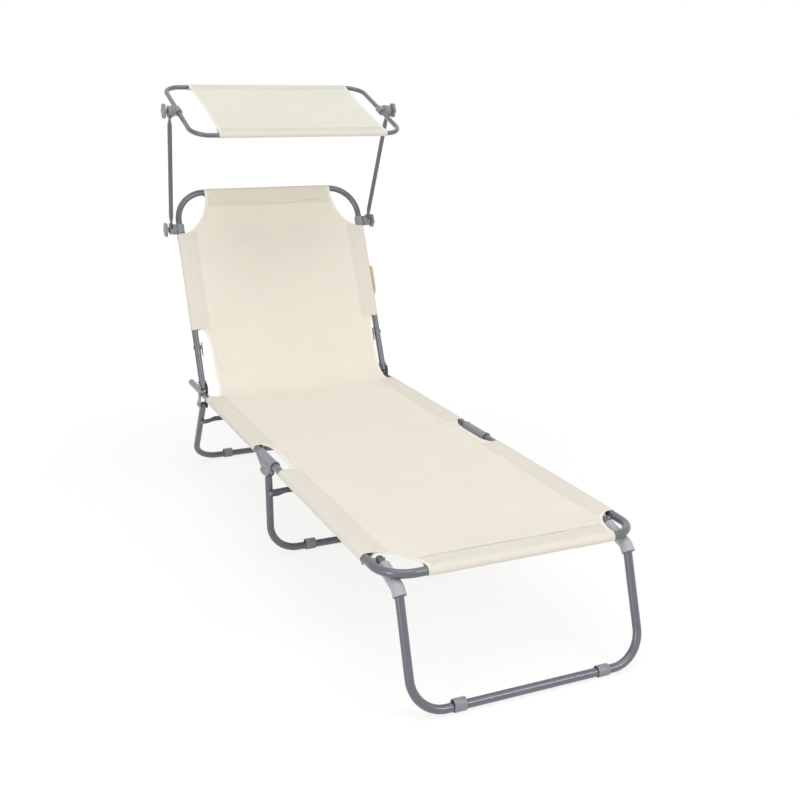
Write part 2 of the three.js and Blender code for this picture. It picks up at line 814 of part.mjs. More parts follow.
function buildFrontLeg() {
  const { elbowDrop, elbowRadius, bendRadius } = frontLeg;
  const halfWidth = halfWidths.frontLeg;
  const top = pivots.frontLeg;
  const elbow = at(0, 0, railHeight - elbowDrop);
  const bottom = at(0, -frontLeg.footForward, floorBar);
  const half = (way) => [
    at(way * halfWidth, top.y, top.z),
    at(way * halfWidth, elbow.y, elbow.z),
    at(way * halfWidth, bottom.y, bottom.z),
  ];
  const corners = [...half(-1), ...half(1).reverse()];
  const radii = [elbowRadius, bendRadius, bendRadius, elbowRadius];
  const holes = sides.map(([, way]) => bore(top.clone().setX(way * halfWidth), 2 * tubeRadius));
  const leg = cut(roundEndedTube(corners, radii), ...holes);
  add('front_leg', 'front_leg', leg, steel);
  for (const [side, way] of sides) {
    const points = half(way);
    const up = points[0].clone().sub(points[1]).normalize();
    const down = points[2].clone().sub(points[1]).normalize();
    const route = rounded(
      [
        points[1].clone().addScaledVector(up, frontLeg.sleeveUp),
        points[1],
        points[1].clone().addScaledVector(down, frontLeg.sleeveDown),
      ],
      [elbowRadius],
    );
    const ring = new THREE.Shape(polygon(frontLeg.sleeveRadius, tubeSides));
    ring.holes.push(new THREE.Path(polygon(tubeRadius + running, tubeSides)));
    const path = new BentPath(route);
    const guard = new THREE.ExtrudeGeometry(ring, { steps: path.steps, extrudePath: path });
    add('front_leg', `${side}_leg_elbow`, guard, plastic);
  }
  addPads('front_leg', 'front', bottom.y, padPlace(halfWidth, frontLeg));
}

// How far from the middle a pad sits: just inside the bend at the end of the floor bar
function padPlace(floorHalf, leg) {
  return floorHalf - leg.bendRadius - pad.length / 2 - leg.padInset;
}

// Roomy clip-on feet that arch over the floor bar and are flat where they stand
function addPads(sectionName, prefix, y, halfWidth) {
  const outerRadius = tubeRadius + pad.wall;
  const innerRadius = tubeRadius + 2 * running;
  const footAngle = Math.acos(pad.foot / outerRadius);
  for (const [side, way] of sides) {
    const x = way * halfWidth;
    const shape = new THREE.Shape();
    shape.absarc(0, 0, outerRadius, -footAngle, 0, false);
    shape.absarc(0, pad.rise, outerRadius, 0, Math.PI, false);
    shape.absarc(0, 0, outerRadius, Math.PI, Math.PI + footAngle, false);
    shape.lineTo(-pad.foot, -floorBar);
    shape.lineTo(pad.foot, -floorBar);
    shape.closePath();
    const room = new THREE.Path();
    room.absarc(0, 0, innerRadius, Math.PI, 2 * Math.PI, false);
    room.absarc(0, pad.rise, innerRadius, 0, Math.PI, false);
    room.closePath();
    shape.holes.push(room);
    const clip = plate(shape, x - pad.length / 2, pad.length);
    add(sectionName, `${prefix}_${side}_foot_pad`, clip.translate(0, y, floorBar), plastic);
  }
}

function buildMiddleLeg() {
  const top = pivots.middleLeg;
  const bottom = at(0, middleY + middleLeg.footBehind, floorBar);
  const { plateWidth, plateLength, taper, bendRadius } = middleLeg;
  const { middleLeg: halfWidth, middleFloor: floorHalf } = halfWidths;
  const start = top.clone().addScaledVector(bottom.clone().sub(top).normalize(), -plateWidth / 2);
  const corners = uCorners(halfWidth, floorHalf, start, bottom);
  const points = withEnds(
    rounded(corners, [bendRadius, bendRadius]),
    endRings(plateWidth, plateLength + plateWidth / 2, taper),
  );
  const leg = tube(points, tubeRadius);
  const holes = [];
  for (const [side, way] of sides) {
    const plateX = way * (railHalfWidth - cheekFace - running - middleLeg.plate / 2);
    const [end, next] = way > 0 ? [corners[3], corners[2]] : [corners[0], corners[1]];
    flattenEnd(leg, {
      end,
      inward: next.clone().sub(end).normalize(),
      thin: xAxis,
      radius: tubeRadius,
      thickness: middleLeg.plate,
      width: plateWidth,
      length: plateLength + plateWidth / 2,
      taper,
      shift: plateX - way * halfWidth,
    });
    holes.push(bore(top.clone().setX(way * halfWidth), 2 * tubeRadius));
    const innerFace = plateX - (way * middleLeg.plate) / 2;
    const pin = headedPin(top, innerFace, way * (railHalfWidth + cheekFace));
    add('seat', `${side}_middle_leg_pin`, pin, zinc);
  }
  add('middle_leg', 'middle_leg', cut(leg, ...holes), steel);
  const cross = legBrace(top, bottom, middleLeg.braceHeight, halfWidth, floorHalf);
  add('middle_leg', 'middle_brace', cross, darkSteel);
  addPads('middle_leg', 'middle', bottom.y, padPlace(floorHalf, middleLeg));
}

function buildRearLeg() {
  const top = pivots.rearLeg;
  const bottom = at(0, top.y + rearLeg.footBehind, floorBar);
  const { bendRadius } = rearLeg;
  const floorHalf = halfWidths.rearFloor;
  const corners = uCorners(railHalfWidth, floorHalf, top, bottom);
  const whole = roundEndedTube(corners, [bendRadius, bendRadius]);
  const holes = sides.map(([, way]) => bore(top.clone().setX(way * railHalfWidth), 2 * tubeRadius));
  add('rear_leg', 'rear_leg', cut(whole, ...holes), steel);
  const cross = legBrace(top, bottom, rearLeg.braceHeight, railHalfWidth, floorHalf);
  add('rear_leg', 'rear_brace', cross, darkSteel);
  addPads('rear_leg', 'rear', bottom.y, padPlace(floorHalf, rearLeg));
}

// The cross tube on the front of a leg, at a height above the ground
function legBrace(top, bottom, height, topHalf, bottomHalf) {
  const down = bottom.clone().sub(top).normalize();
  const share = (top.z - height) / (top.z - bottom.z);
  const front = at(0, down.z, -down.y);
  const halfWidth = THREE.MathUtils.lerp(topHalf, bottomHalf, share);
  return crossTube(top.clone().lerp(bottom, share), front, halfWidth, brace.offset);
}

// A tube whose flattened ends are riveted on one face of two parallel tubes
function crossTube(centre, face, halfWidth, offset) {
  const middle = centre.clone().addScaledVector(face, offset);
  const end = halfWidth + tubeRadius / 2;
  const points = withEnds(
    [at(-end, middle.y, middle.z), at(0, middle.y, middle.z), at(end, middle.y, middle.z)],
    endRings(brace.plateWidth, brace.plateLength, brace.taper),
  );
  const geometry = tube(points, brace.radius);
  for (const [, way] of sides) {
    flattenEnd(geometry, {
      end: at(way * end, middle.y, middle.z),
      inward: at(-way, 0, 0),
      thin: face,
      radius: brace.radius,
      thickness: brace.plate,
      width: brace.plateWidth,
      length: brace.plateLength,
      taper: brace.taper,
      shift: tubeRadius + brace.plate / 2 + running - offset,
    });
  }
  return geometry;
}

// U-shaped frame of the backrest, with a pin pressed through each tube that drops in the teeth
function buildBackrest() {
  const foot = pivots.back;
  const top = foot.clone().addScaledVector(backAlong, backLength);
  const corners = uCorners(railHalfWidth, railHalfWidth, foot, top);
  const whole = roundEndedTube(corners, [backCornerRadius, backCornerRadius]);
  const lockAt = foot.clone().addScaledVector(backAlong, lockPin.along);
  const hookAt = foot.clone().addScaledVector(backAlong, hook.along);
  const holes = [];
  const pins = [];
  for (const [side, way] of sides) {
    const x = way * railHalfWidth;
    holes.push(bore(foot.clone().setX(x), 2 * tubeRadius));
    holes.push(bore(hookAt.clone().setX(x), 2 * tubeRadius));
    const reach = tubeRadius + running + bracket.wall + lockPin.overhang;
    pins.push(bore(lockAt.clone().setX(x), reach, lockPin.radius));
    add('back', `${side}_back_hook`, buildHook(hookAt, way), zinc);
  }
  add('back', 'backrest_frame', join(cut(whole, ...holes), ...pins), steel);
}

// A flat hook on the inside of a back tube, with its spacer and the rivet through the tube
function buildHook(centre, way) {
  const { headRadius, headHeight, play, radius } = fastener;
  const x = way * railHalfWidth;
  const inward = -way;
  const place = (distance) => centre.clone().setX(x + inward * distance);
  const face = tubeRadius + hook.spacer;
  const shank = rod(place(-tubeRadius - headHeight / 2), place(face + hook.wall / 2), radius, pinSides);
  const spacer = rod(place(tubeRadius + play), place(face + hook.wall / 2), headRadius, pinSides);
  const head = rod(place(-tubeRadius - play), place(-tubeRadius - headHeight), headRadius, pinSides);
  const outline = new THREE.Shape();
  const half = hook.width / 2;
  outline.moveTo(-hook.below, -half + hook.tip);
  outline.lineTo(-half, -half);
  outline.lineTo(hook.above, -half + hook.tip);
  outline.lineTo(hook.above + hook.tip, half + hook.tip);
  outline.lineTo(half, half);
  outline.lineTo(-half, half);
  outline.lineTo(-hook.below, -half + 2 * hook.tip);
  outline.closePath();
  const blade = new THREE.ExtrudeGeometry(outline, { depth: hook.wall, bevelEnabled: false });
  blade.applyMatrix4(new THREE.Matrix4().makeBasis(backAlong, backFront, xAxis));
  const bladeAt = place(face + (inward > 0 ? 0 : hook.wall));
  blade.translate(bladeAt.x, bladeAt.y, bladeAt.z);
  return join(blade, shank, spacer, head);
}

// A place on the backrest: across, along its tubes and in front of them
function onBack(x, along, front) {
  const point = pivots.back.clone().addScaledVector(backAlong, along).addScaledVector(backFront, front);
  return point.setX(x);
}

// A tool that cuts a shape, drawn across and along the backrest, out of its sling
function backTool(shape, along, front, origin) {
  const height = 4 * tubeRadius;
  const tool = new THREE.ExtrudeGeometry(shape, {
    depth: height,
    bevelEnabled: false,
    curveSegments: bendSteps,
  });
  tool.translate(0, 0, -height / 2);
  tool.applyMatrix4(new THREE.Matrix4().makeBasis(xAxis, along, front));
  return tool.translate(origin.x, origin.y, origin.z);
}

function buildBackCloth() {
  const run = backLength - sling.hingeGap;
  const panel = sheet(
    (u, v) => {
      const x = THREE.MathUtils.lerp(-railHalfWidth, railHalfWidth, u);
      const along = sling.hingeGap + run * v;
      const dip = slingSag(x, railHalfWidth, backLength - along) * Math.min(1, along / backLength + 0.5);
      return onBack(x, along, panelRise - dip);
    },
    () => backFront,
    cloth.thickness,
    8,
    6,
  );
  const topSleeve = sleeve(
    onBack(-backSleeve.topHalf, backLength, 0),
    onBack(backSleeve.topHalf, backLength, 0),
    sleeveInner,
  );
  const sleeves = [topSleeve];
  const cuts = [];
  for (const [, way] of sides) {
    const x = way * railHalfWidth;
    sleeves.push(sleeve(onBack(x, backSleeve.start, 0), onBack(x, backSleeve.stop, 0), sleeveInner));
    cuts.push(backTool(topCornerShape(way), backAlong, backFront, pivots.back));
    cuts.push(backTool(lowCornerShape(way), backAlong, backFront, pivots.back));
  }
  add('back', 'back_cloth', cut(join(panel, ...sleeves), ...cuts), canvas);
}

function topCornerShape(way) {
  const beyond = way * (railHalfWidth + 2 * tubeRadius);
  const edge = way * (railHalfWidth - 1.7 * tubeRadius);
  const inside = way * backSleeve.topHalf;
  const shape = new THREE.Shape();
  const high = backLength - 1.5 * tubeRadius;
  shape.moveTo(beyond, backSleeve.stop);
  shape.lineTo(edge, backSleeve.stop);
  shape.bezierCurveTo(inside, backSleeve.stop + backSleeve.corner, inside, high, inside, high);
  shape.lineTo(inside, backLength + 2 * tubeRadius);
  shape.lineTo(beyond, backLength + 2 * tubeRadius);
  shape.closePath();
  return shape;
}

function lowCornerShape(way) {
  const beyond = way * (railHalfWidth + 2 * tubeRadius);
  const edge = way * (railHalfWidth - 1.5 * tubeRadius);
  const inside = way * sling.hingeHalfWidth;
  const shape = new THREE.Shape();
  shape.moveTo(beyond, backSleeve.start);
  shape.lineTo(edge, backSleeve.start);
  shape.bezierCurveTo(inside, backSleeve.start, inside, backSleeve.start / 2, inside, 0);
  shape.lineTo(beyond, 0);
  shape.closePath();
  return shape;
}

// An open-topped pouch on the outside of the right-hand tube
function buildPocket() {
  const inner = railHalfWidth + sleeveOuter * Math.cos(Math.PI / tubeSides) + running;
  const outline = (inset, lift) => {
    const shape = new THREE.Shape();
    const wide = pocket.depth - inset;
    const near = pocket.lap - inset;
    const low = pocket.along + inset;
    const high = pocket.along + pocket.length + lift;
    const round = pocket.depth / 4;
    shape.moveTo(low + round, near);
    shape.lineTo(high, near);
    shape.lineTo(high, -wide);
    shape.lineTo(low + round, -wide);
    shape.quadraticCurveTo(low, -wide, low, -wide + round);
    shape.lineTo(low, near - round);
    shape.quadraticCurveTo(low, near, low + round, near);
    return shape;
  };
  const pouch = (shape, x, depth) => {
    const geometry = new THREE.ExtrudeGeometry(shape, {
      depth,
      bevelEnabled: false,
      curveSegments: bendSteps,
    });
    const toBack = new THREE.Matrix4().makeBasis(backAlong, backFront, xAxis);
    geometry.applyMatrix4(toBack);
    return geometry.translate(x, pivots.back.y, pivots.back.z);
  };
  const outer = pouch(outline(0, 0), inner, pocket.bulge);
  const wall = cloth.thickness * 1.5;
  const hollow = pouch(outline(wall, overrun), inner + wall, pocket.bulge - 2 * wall);
  add('back', 'pocket', cut(outer, hollow), pocketCanvas);
}

// How far out each fitting of a canopy clamp reaches from the tube's middle
function clampStack(tubeSize) {
  const discFace = tubeSize + clamp.grip + clamp.discWall;
  const hubFrom = discFace + clamp.play;
  const hubTo = hubFrom + hub.thickness;
  const knobFrom = hubTo + clamp.play;
  return { discFace, hubFrom, hubTo, knobFrom, hubMiddle: (hubFrom + hubTo) / 2 };
}

// A collar round a tube with a toothed disc on its outside
function buildClamp(place, along, tubeSize, x, way) {
  const { discFace } = clampStack(tubeSize);
  const centre = place.clone().setX(x);
  const half = clamp.length / 2;
  const outerRadius = tubeSize + clamp.grip;
  const ends = [-half, half].map((d) => centre.clone().addScaledVector(along, d));
  const collar = rod(ends[0], ends[1], outerRadius);
  const face = centre.clone().setX(x + way * discFace);
  const disc = rod(centre.clone().setX(x + way * tubeSize), face, clamp.discRadius, discSides);
  const holeEnds = [-half - overrun, half + overrun].map((d) => centre.clone().addScaledVector(along, d));
  const hole = rod(holeEnds[0], holeEnds[1], tubeSize + clamp.play, discSides);
  const studHole = rod(centre, face.clone().setX(face.x + way * overrun), fastener.radius + fastener.play);
  return cut(join(collar, disc), hole, studHole);
}

// The hub that holds an arm's flattened end against the toothed disc
function buildHub(place, armWay, tubeSize, x, way) {
  const { hubFrom, hubTo, hubMiddle } = clampStack(tubeSize);
  const centre = place.clone().setX(0);
  const onto = (distance) => centre.clone().setX(x + way * distance);
  const drum = rod(onto(hubFrom), onto(hubTo), hub.radius, discSides);
  const bossLength = hub.radius + hub.lip;
  const boss = new THREE.BoxGeometry(hub.thickness, hub.radius * 1.6, bossLength);
  boss.translate(0, 0, bossLength / 2);
  boss.applyQuaternion(new THREE.Quaternion().setFromUnitVectors(zAxis, armWay));
  boss.translate(x + way * hubMiddle, centre.y, centre.z);
  const slot = new THREE.BoxGeometry(hub.slot, arm.plateWidth + 2 * running, bossLength * 2);
  slot.translate(0, 0, bossLength - arm.plateWidth / 2 - running);
  slot.applyQuaternion(new THREE.Quaternion().setFromUnitVectors(zAxis, armWay));
  slot.translate(x + way * hubMiddle, centre.y, centre.z);
  const reach = hub.thickness + overrun;
  const studHole = bore(onto(hubMiddle), reach);
  return cut(join(drum, boss), slot, studHole);
}

// A lobed hand knob whose stud runs through the hub into the clamp
function buildKnob(place, tubeSize, x, way) {
  const { knobFrom } = clampStack(tubeSize);
  const points = [];
  const steps = knob.lobes * knob.lobeSteps;
  for (let i = 0; i < steps; i++) {
    const angle = (2 * Math.PI * i) / steps;
    const radius = knob.radius - (knob.lobeDepth * (1 - Math.cos(knob.lobes * angle))) / 2;
    points.push(new THREE.Vector2(radius * Math.cos(angle), radius * Math.sin(angle)));
  }
  const grip = new THREE.ExtrudeGeometry(new THREE.Shape(points), {
    depth: knob.thickness / 2,
    bevelEnabled: true,
    bevelSize: knob.thickness / 4,
    bevelThickness: knob.thickness / 4,
    bevelSegments: 1,
  });
  grip.translate(0, 0, knobFrom + knob.neck + knob.thickness / 4);
  const stud = [
    [0, tubeSize + clamp.grip],
    [fastener.radius, tubeSize + clamp.grip],
    [fastener.radius, knobFrom],
    [knob.neckRadius, knobFrom],
    [knob.neckRadius * 0.8, knobFrom + knob.neck + knob.thickness / 2],
    [0, knobFrom + knob.neck + knob.thickness / 2],
  ].map(([r, z]) => new THREE.Vector2(r, z));
  const neck = new THREE.LatheGeometry(stud, tubeSides).rotateX(Math.PI / 2);
  const whole = join(grip, neck);
  whole.rotateY((way * Math.PI) / 2);
  return whole.translate(x, place.y, place.z);
}

function buildCanopyFittings() {
  const lowStack = clampStack(tubeRadius);
  const highStack = clampStack(canopy.tubeRadius);
  for (const [side, way] of sides) {
    section(`${side}_arm`, 'back', lowerClamp);
    section(`${side}_clamp`, `${side}_arm`, upperClamp);
  }
  section('canopy', 'left_clamp', upperClamp);
  for (const [side, way] of sides) {
    const lowX = way * railHalfWidth;
    const highX = way * canopy.halfWidth;
    const armFoot = lowerClamp.clone().setX(lowX + way * lowStack.hubMiddle);
    const armHead = upperClamp.clone().setX(highX + way * highStack.hubMiddle);
    const armWay = armHead.clone().sub(armFoot).setX(0).normalize();
    const tilt = armHead.clone().sub(armFoot).normalize();
    const half = arm.plateWidth / 2;
    const ends = [armFoot.clone().addScaledVector(tilt, -half), armHead.clone().addScaledVector(tilt, half)];
    const middle = ends[0].clone().lerp(ends[1], 0.5);
    const rings = endRings(arm.plateWidth, arm.plateLength + half, arm.taper);
    const armTube = tube(withEnds([ends[0], middle, ends[1]], rings), arm.radius);
    const thin = xAxis.clone().addScaledVector(tilt, -tilt.x).normalize();
    ends.forEach((end, i) =>
      flattenEnd(armTube, {
        end,
        inward: tilt.clone().multiplyScalar(i ? -1 : 1),
        thin,
        radius: arm.radius,
        thickness: arm.plate,
        width: arm.plateWidth,
        length: arm.plateLength + half,
        taper: arm.taper,
        shift: 0,
      }),
    );
    const holes = [armFoot, armHead].map((p) => bore(p, 2 * arm.radius));
    add(`${side}_arm`, `${side}_canopy_arm`, cut(armTube, ...holes), steel);
    const down = armWay.clone().negate();
    const lowHub = buildHub(lowerClamp, armWay, tubeRadius, lowX, way);
    const highHub = buildHub(upperClamp, down, canopy.tubeRadius, highX, way);
    add(`${side}_arm`, `${side}_lower_hub`, lowHub, plastic);
    add(`${side}_arm`, `${side}_upper_hub`, highHub, plastic);
    const lowClamp = buildClamp(lowerClamp, backAlong, tubeRadius, lowX, way);
    add('back', `${side}_lower_clamp`, lowClamp, plastic);
    const highClamp = buildClamp(upperClamp, canopyAlong, canopy.tubeRadius, highX, way);
    add(`${side}_clamp`, `${side}_upper_clamp`, highClamp, plastic);
    add(`${side}_arm`, `${side}_lower_knob`, buildKnob(lowerClamp, tubeRadius, lowX, way), plastic);
    const highKnob = buildKnob(upperClamp, canopy.tubeRadius, highX, way);
    add(`${side}_arm`, `${side}_upper_knob`, highKnob, plastic);
  }
}

// A place on the canopy: across, forward from the rear bar and above the tubes
function onCanopy(x, along, up) {
  const point = canopyRear.clone().addScaledVector(canopyAlong, along).addScaledVector(canopyUp, up);
  return point.setX(x);
}

// One tube bent into a rounded rectangle, whose ends meet in the middle of the rear bar
function buildCanopyFrame() {
  const { halfWidth, length, cornerRadius, jointGap } = canopy;
  const corners = [
    onCanopy(-jointGap / 2, 0, 0),
    onCanopy(-halfWidth, 0, 0),
    onCanopy(-halfWidth, length, 0),
    onCanopy(halfWidth, length, 0),
    onCanopy(halfWidth, 0, 0),
    onCanopy(jointGap / 2, 0, 0),
  ];
  const radii = corners.slice(2).map(() => cornerRadius);
  add('canopy', 'canopy_frame', tube(rounded(corners, radii), canopy.tubeRadius), steel);
}

function buildCanopyCloth() {
  const rise = canopy.tubeRadius + cloth.play;
  const { length, clothHalf, clothWaist } = canopy;
  const panel = sheet(
    (u, v) => {
      const waist = clothWaist * Math.sin(Math.PI * v);
      const x = clothDrift + THREE.MathUtils.lerp(waist - clothHalf, clothHalf - waist, u);
      const dip = canopy.sag * Math.sin(Math.PI * v) * Math.sin(Math.PI * u);
      return onCanopy(x, length * (1 - v), rise - dip);
    },
    () => canopyUp,
    cloth.thickness,
    6,
    6,
  );
  const sleeves = [0, length].map((along) =>
    sleeve(onCanopy(clothDrift - clothHalf, along, 0), onCanopy(clothDrift + clothHalf, along, 0), rise),
  );
  add('canopy', 'canopy_cloth', join(panel, ...sleeves), canvas);
}

buildSeatRails();
buildBrackets();
buildFootFrame();
buildFootCloth();
buildSeatCloth();
buildFrontLeg();
buildMiddleLeg();
buildRearLeg();
buildBackrest();
buildBackCloth();
buildPocket();
buildCanopyFittings();
buildCanopyFrame();
buildCanopyCloth();

// The origin is the middle of the footprint, on the ground
lounger.updateMatrixWorld(true);
const box = new THREE.Box3().setFromObject(lounger, true);
lounger.position.set(0, -(box.min.y + box.max.y) / 2, -box.min.z);
lounger.updateMatrixWorld(true);

export default lounger;
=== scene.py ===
"""A folding sun lounger with a canopy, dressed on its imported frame.

Lengths are millimetres in the layout frame of the part's source: X across, Y from the foot end to the
head end, Z up, with the front bar at y = 0. make_piece takes each mesh to the shared row frame in
metres. Left is -X.
"""

from __future__ import annotations

import logging
import math
from dataclasses import dataclass, field
from enum import Enum
from itertools import groupby
from typing import Callable, Iterable, Sequence

import bmesh
import bpy
from mathutils import Matrix, Vector, noise

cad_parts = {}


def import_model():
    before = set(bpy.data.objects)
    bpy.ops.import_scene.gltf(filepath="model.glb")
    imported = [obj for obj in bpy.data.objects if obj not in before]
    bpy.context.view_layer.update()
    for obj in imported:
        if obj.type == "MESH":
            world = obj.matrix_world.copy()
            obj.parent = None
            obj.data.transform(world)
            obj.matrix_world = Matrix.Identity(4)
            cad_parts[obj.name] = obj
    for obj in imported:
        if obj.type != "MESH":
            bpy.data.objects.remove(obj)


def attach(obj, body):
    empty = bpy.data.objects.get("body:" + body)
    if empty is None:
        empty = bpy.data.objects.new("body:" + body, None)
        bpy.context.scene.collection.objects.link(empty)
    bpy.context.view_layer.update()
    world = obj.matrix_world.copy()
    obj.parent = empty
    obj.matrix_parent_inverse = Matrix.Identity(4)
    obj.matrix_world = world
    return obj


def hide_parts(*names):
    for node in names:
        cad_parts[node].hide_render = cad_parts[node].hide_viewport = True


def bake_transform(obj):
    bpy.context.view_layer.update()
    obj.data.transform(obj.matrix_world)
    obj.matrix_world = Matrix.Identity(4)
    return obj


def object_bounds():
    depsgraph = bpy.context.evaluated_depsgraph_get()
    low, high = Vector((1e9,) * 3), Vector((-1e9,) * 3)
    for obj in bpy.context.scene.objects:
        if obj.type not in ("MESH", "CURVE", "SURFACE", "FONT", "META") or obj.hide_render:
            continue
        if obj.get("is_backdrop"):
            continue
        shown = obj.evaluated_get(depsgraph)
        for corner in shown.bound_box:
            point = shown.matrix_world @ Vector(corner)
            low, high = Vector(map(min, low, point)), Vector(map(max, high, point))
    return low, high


log = logging.getLogger("lounger")

METRES = 0.001
ROW_MIDDLE = 736.669
TO_ROW = Matrix.Diagonal((METRES, METRES, METRES, 1)) @ Matrix.Translation((0, -ROW_MIDDLE, 0))
X_AXIS = Vector((1, 0, 0))
Y_AXIS = Vector((0, 1, 0))
Z_AXIS = Vector((0, 0, 1))
WEAVE_MAP = "weave"
# Vertex attribute of painted light and shade on the cloth: painted shade where it lies in two layers and in
# the seam grooves, painted highlight along the hems.
PAINTED_LIGHT_MAP = "double"
TUBE_SIDES = 32
BEND_STEPS = 20
SHARP = math.radians(38)

Vert = bmesh.types.BMVert
Socket = bpy.types.NodeSocket
Material = bpy.types.Material
Pair = tuple[float, float]
Triple = tuple[float, float, float]
Spot = tuple[Vector, Vector]
Knot = tuple[Vector, Pair, float]


class Side(Enum):
    """The two sides of the lounger, with the way each lies along X."""

    LEFT = -1
    RIGHT = 1

    @property
    def word(self) -> str:
        """The side's name as the pieces spell it."""
        return self.name.lower()


class Slot(Enum):
    """Material slots of the record."""

    COATED = "coated_steel"
    DARK = "dark_steel"
    ZINC = "zinc_steel"
    PLASTIC = "grey_plastic"
    SLING = "sling_canvas"
    CANOPY = "canopy_canvas"
    POCKET = "pocket_canvas"


def blend_number(low: float, high: float, share: float) -> float:
    """Give the number a share of the way from low to high."""
    return low + (high - low) * share


def ease(share: float) -> float:
    """Give a smooth step from 0 to 1."""
    t = min(1.0, max(0.0, share))
    return t * t * (3 - 2 * t)


def bezier(points: Sequence[Pair], t: float) -> Pair:
    """Give the place on a Bezier curve.

    Args:
        points: The curve's control points.
        t: How far along the curve, from 0 to 1.

    Returns:
        The place as two coordinates.
    """
    row = [Vector(p) for p in points]
    while len(row) > 1:
        row = [a.lerp(b, t) for a, b in zip(row, row[1:])]
    return row[0].x, row[0].y


# The frame's shared sizes


@dataclass(frozen=True)
class Plane:
    """The plane that a frame's tubes lie in."""

    origin: Vector
    along: Vector
    out: Vector

    def at(self, x: float, along: float, out: float = 0.0) -> Vector:
        """Give a place.

        Args:
            x: Place across the lounger.
            along: Distance along the plane from its origin.
            out: Distance out of the plane.

        Returns:
            The place in the layout frame.
        """
        place = self.origin + self.along * along + self.out * out
        return Vector((x, place.y, place.z))


@dataclass(frozen=True)
class Layout:
    """Sizes that more than one sub-assembly goes by."""

    rail_half: float = 281.0
    rail_z: float = 263.0
    tube: float = 9.0
    middle_y: float = 709.0
    back_y: float = 1309.0
    back_rise: float = 18.7
    back_length: float = 578.0
    back_angle: float = math.radians(65.5)
    running: float = 0.4
    panel_rise: float = 9.4
    drift: float = 10.5
    canopy_tube: float = 6.3
    canopy_half: float = 300.0
    canopy_length: float = 343.0
    canopy_tilt: float = math.radians(19.9)
    canopy_back: Pair = (240.0, 843.0)
    clamp_on_back: float = 470.0
    clamp_on_canopy: float = 176.0

    @property
    def back(self) -> Plane:
        """The backrest's plane, from its hinge up."""
        c, s = math.cos(self.back_angle), math.sin(self.back_angle)
        hinge = Vector((0, self.back_y, self.rail_z + self.back_rise))
        return Plane(hinge, Vector((0, c, s)), Vector((0, -s, c)))

    @property
    def canopy(self) -> Plane:
        """The canopy's plane, from its rear bar forward."""
        c, s = math.cos(self.canopy_tilt), math.sin(self.canopy_tilt)
        rear = Vector((0, self.back_y + self.canopy_back[0], self.rail_z + self.canopy_back[1]))
        return Plane(rear, Vector((0, -c, -s)), Vector((0, -s, c)))


LAY = Layout()


# Mesh tools


def rounded(corners: Sequence[Vector], radii: Sequence[float], steps: int = BEND_STEPS) -> list[Vector]:
    """Round the inner corners of a run of straight lines.

    Args:
        corners: The run's corners, its two ends among them.
        radii: The radius at each inner corner.
        steps: Steps in each bend.

    Returns:
        The points of the rounded run.
    """
    points = [corners[0].copy()]
    for before, corner, after, radius in zip(corners, corners[1:], corners[2:], radii):
        come = (corner - before).normalized()
        leave = (after - corner).normalized()
        turn = come.angle(leave)
        start = corner - come * radius * math.tan(turn / 2)
        side = (leave - come * leave.dot(come)).normalized()
        for k in range(steps + 1):
            angle = turn * k / steps
            points.append(start + come * radius * math.sin(angle) + side * radius * (1 - math.cos(angle)))
    points.append(corners[-1].copy())
    return points


def with_ends(points: list[Vector], insets: Sequence[float]) -> list[Vector]:
    """Add points near both ends of a run, where the tube changes its section.

    Args:
        points: The run.
        insets: Distances from each end.

    Returns:
        The run with the added points.
    """
    come = (points[1] - points[0]).normalized()
    leave = (points[-2] - points[-1]).normalized()
    head = [points[0] + come * d for d in insets]
    tail = [points[-1] + leave * d for d in reversed(insets)]
    return [points[0], *head, *points[1:-1], *tail, points[-1]]


def axes_at(point: Vector, forward: Vector, up: Vector) -> Matrix:
    """Give the matrix of a frame whose Z runs forward and whose Y is up."""
    side = up.cross(forward).normalized()
    matrix = Matrix((side, up, forward)).transposed().to_4x4()
    matrix.translation = point
    return matrix


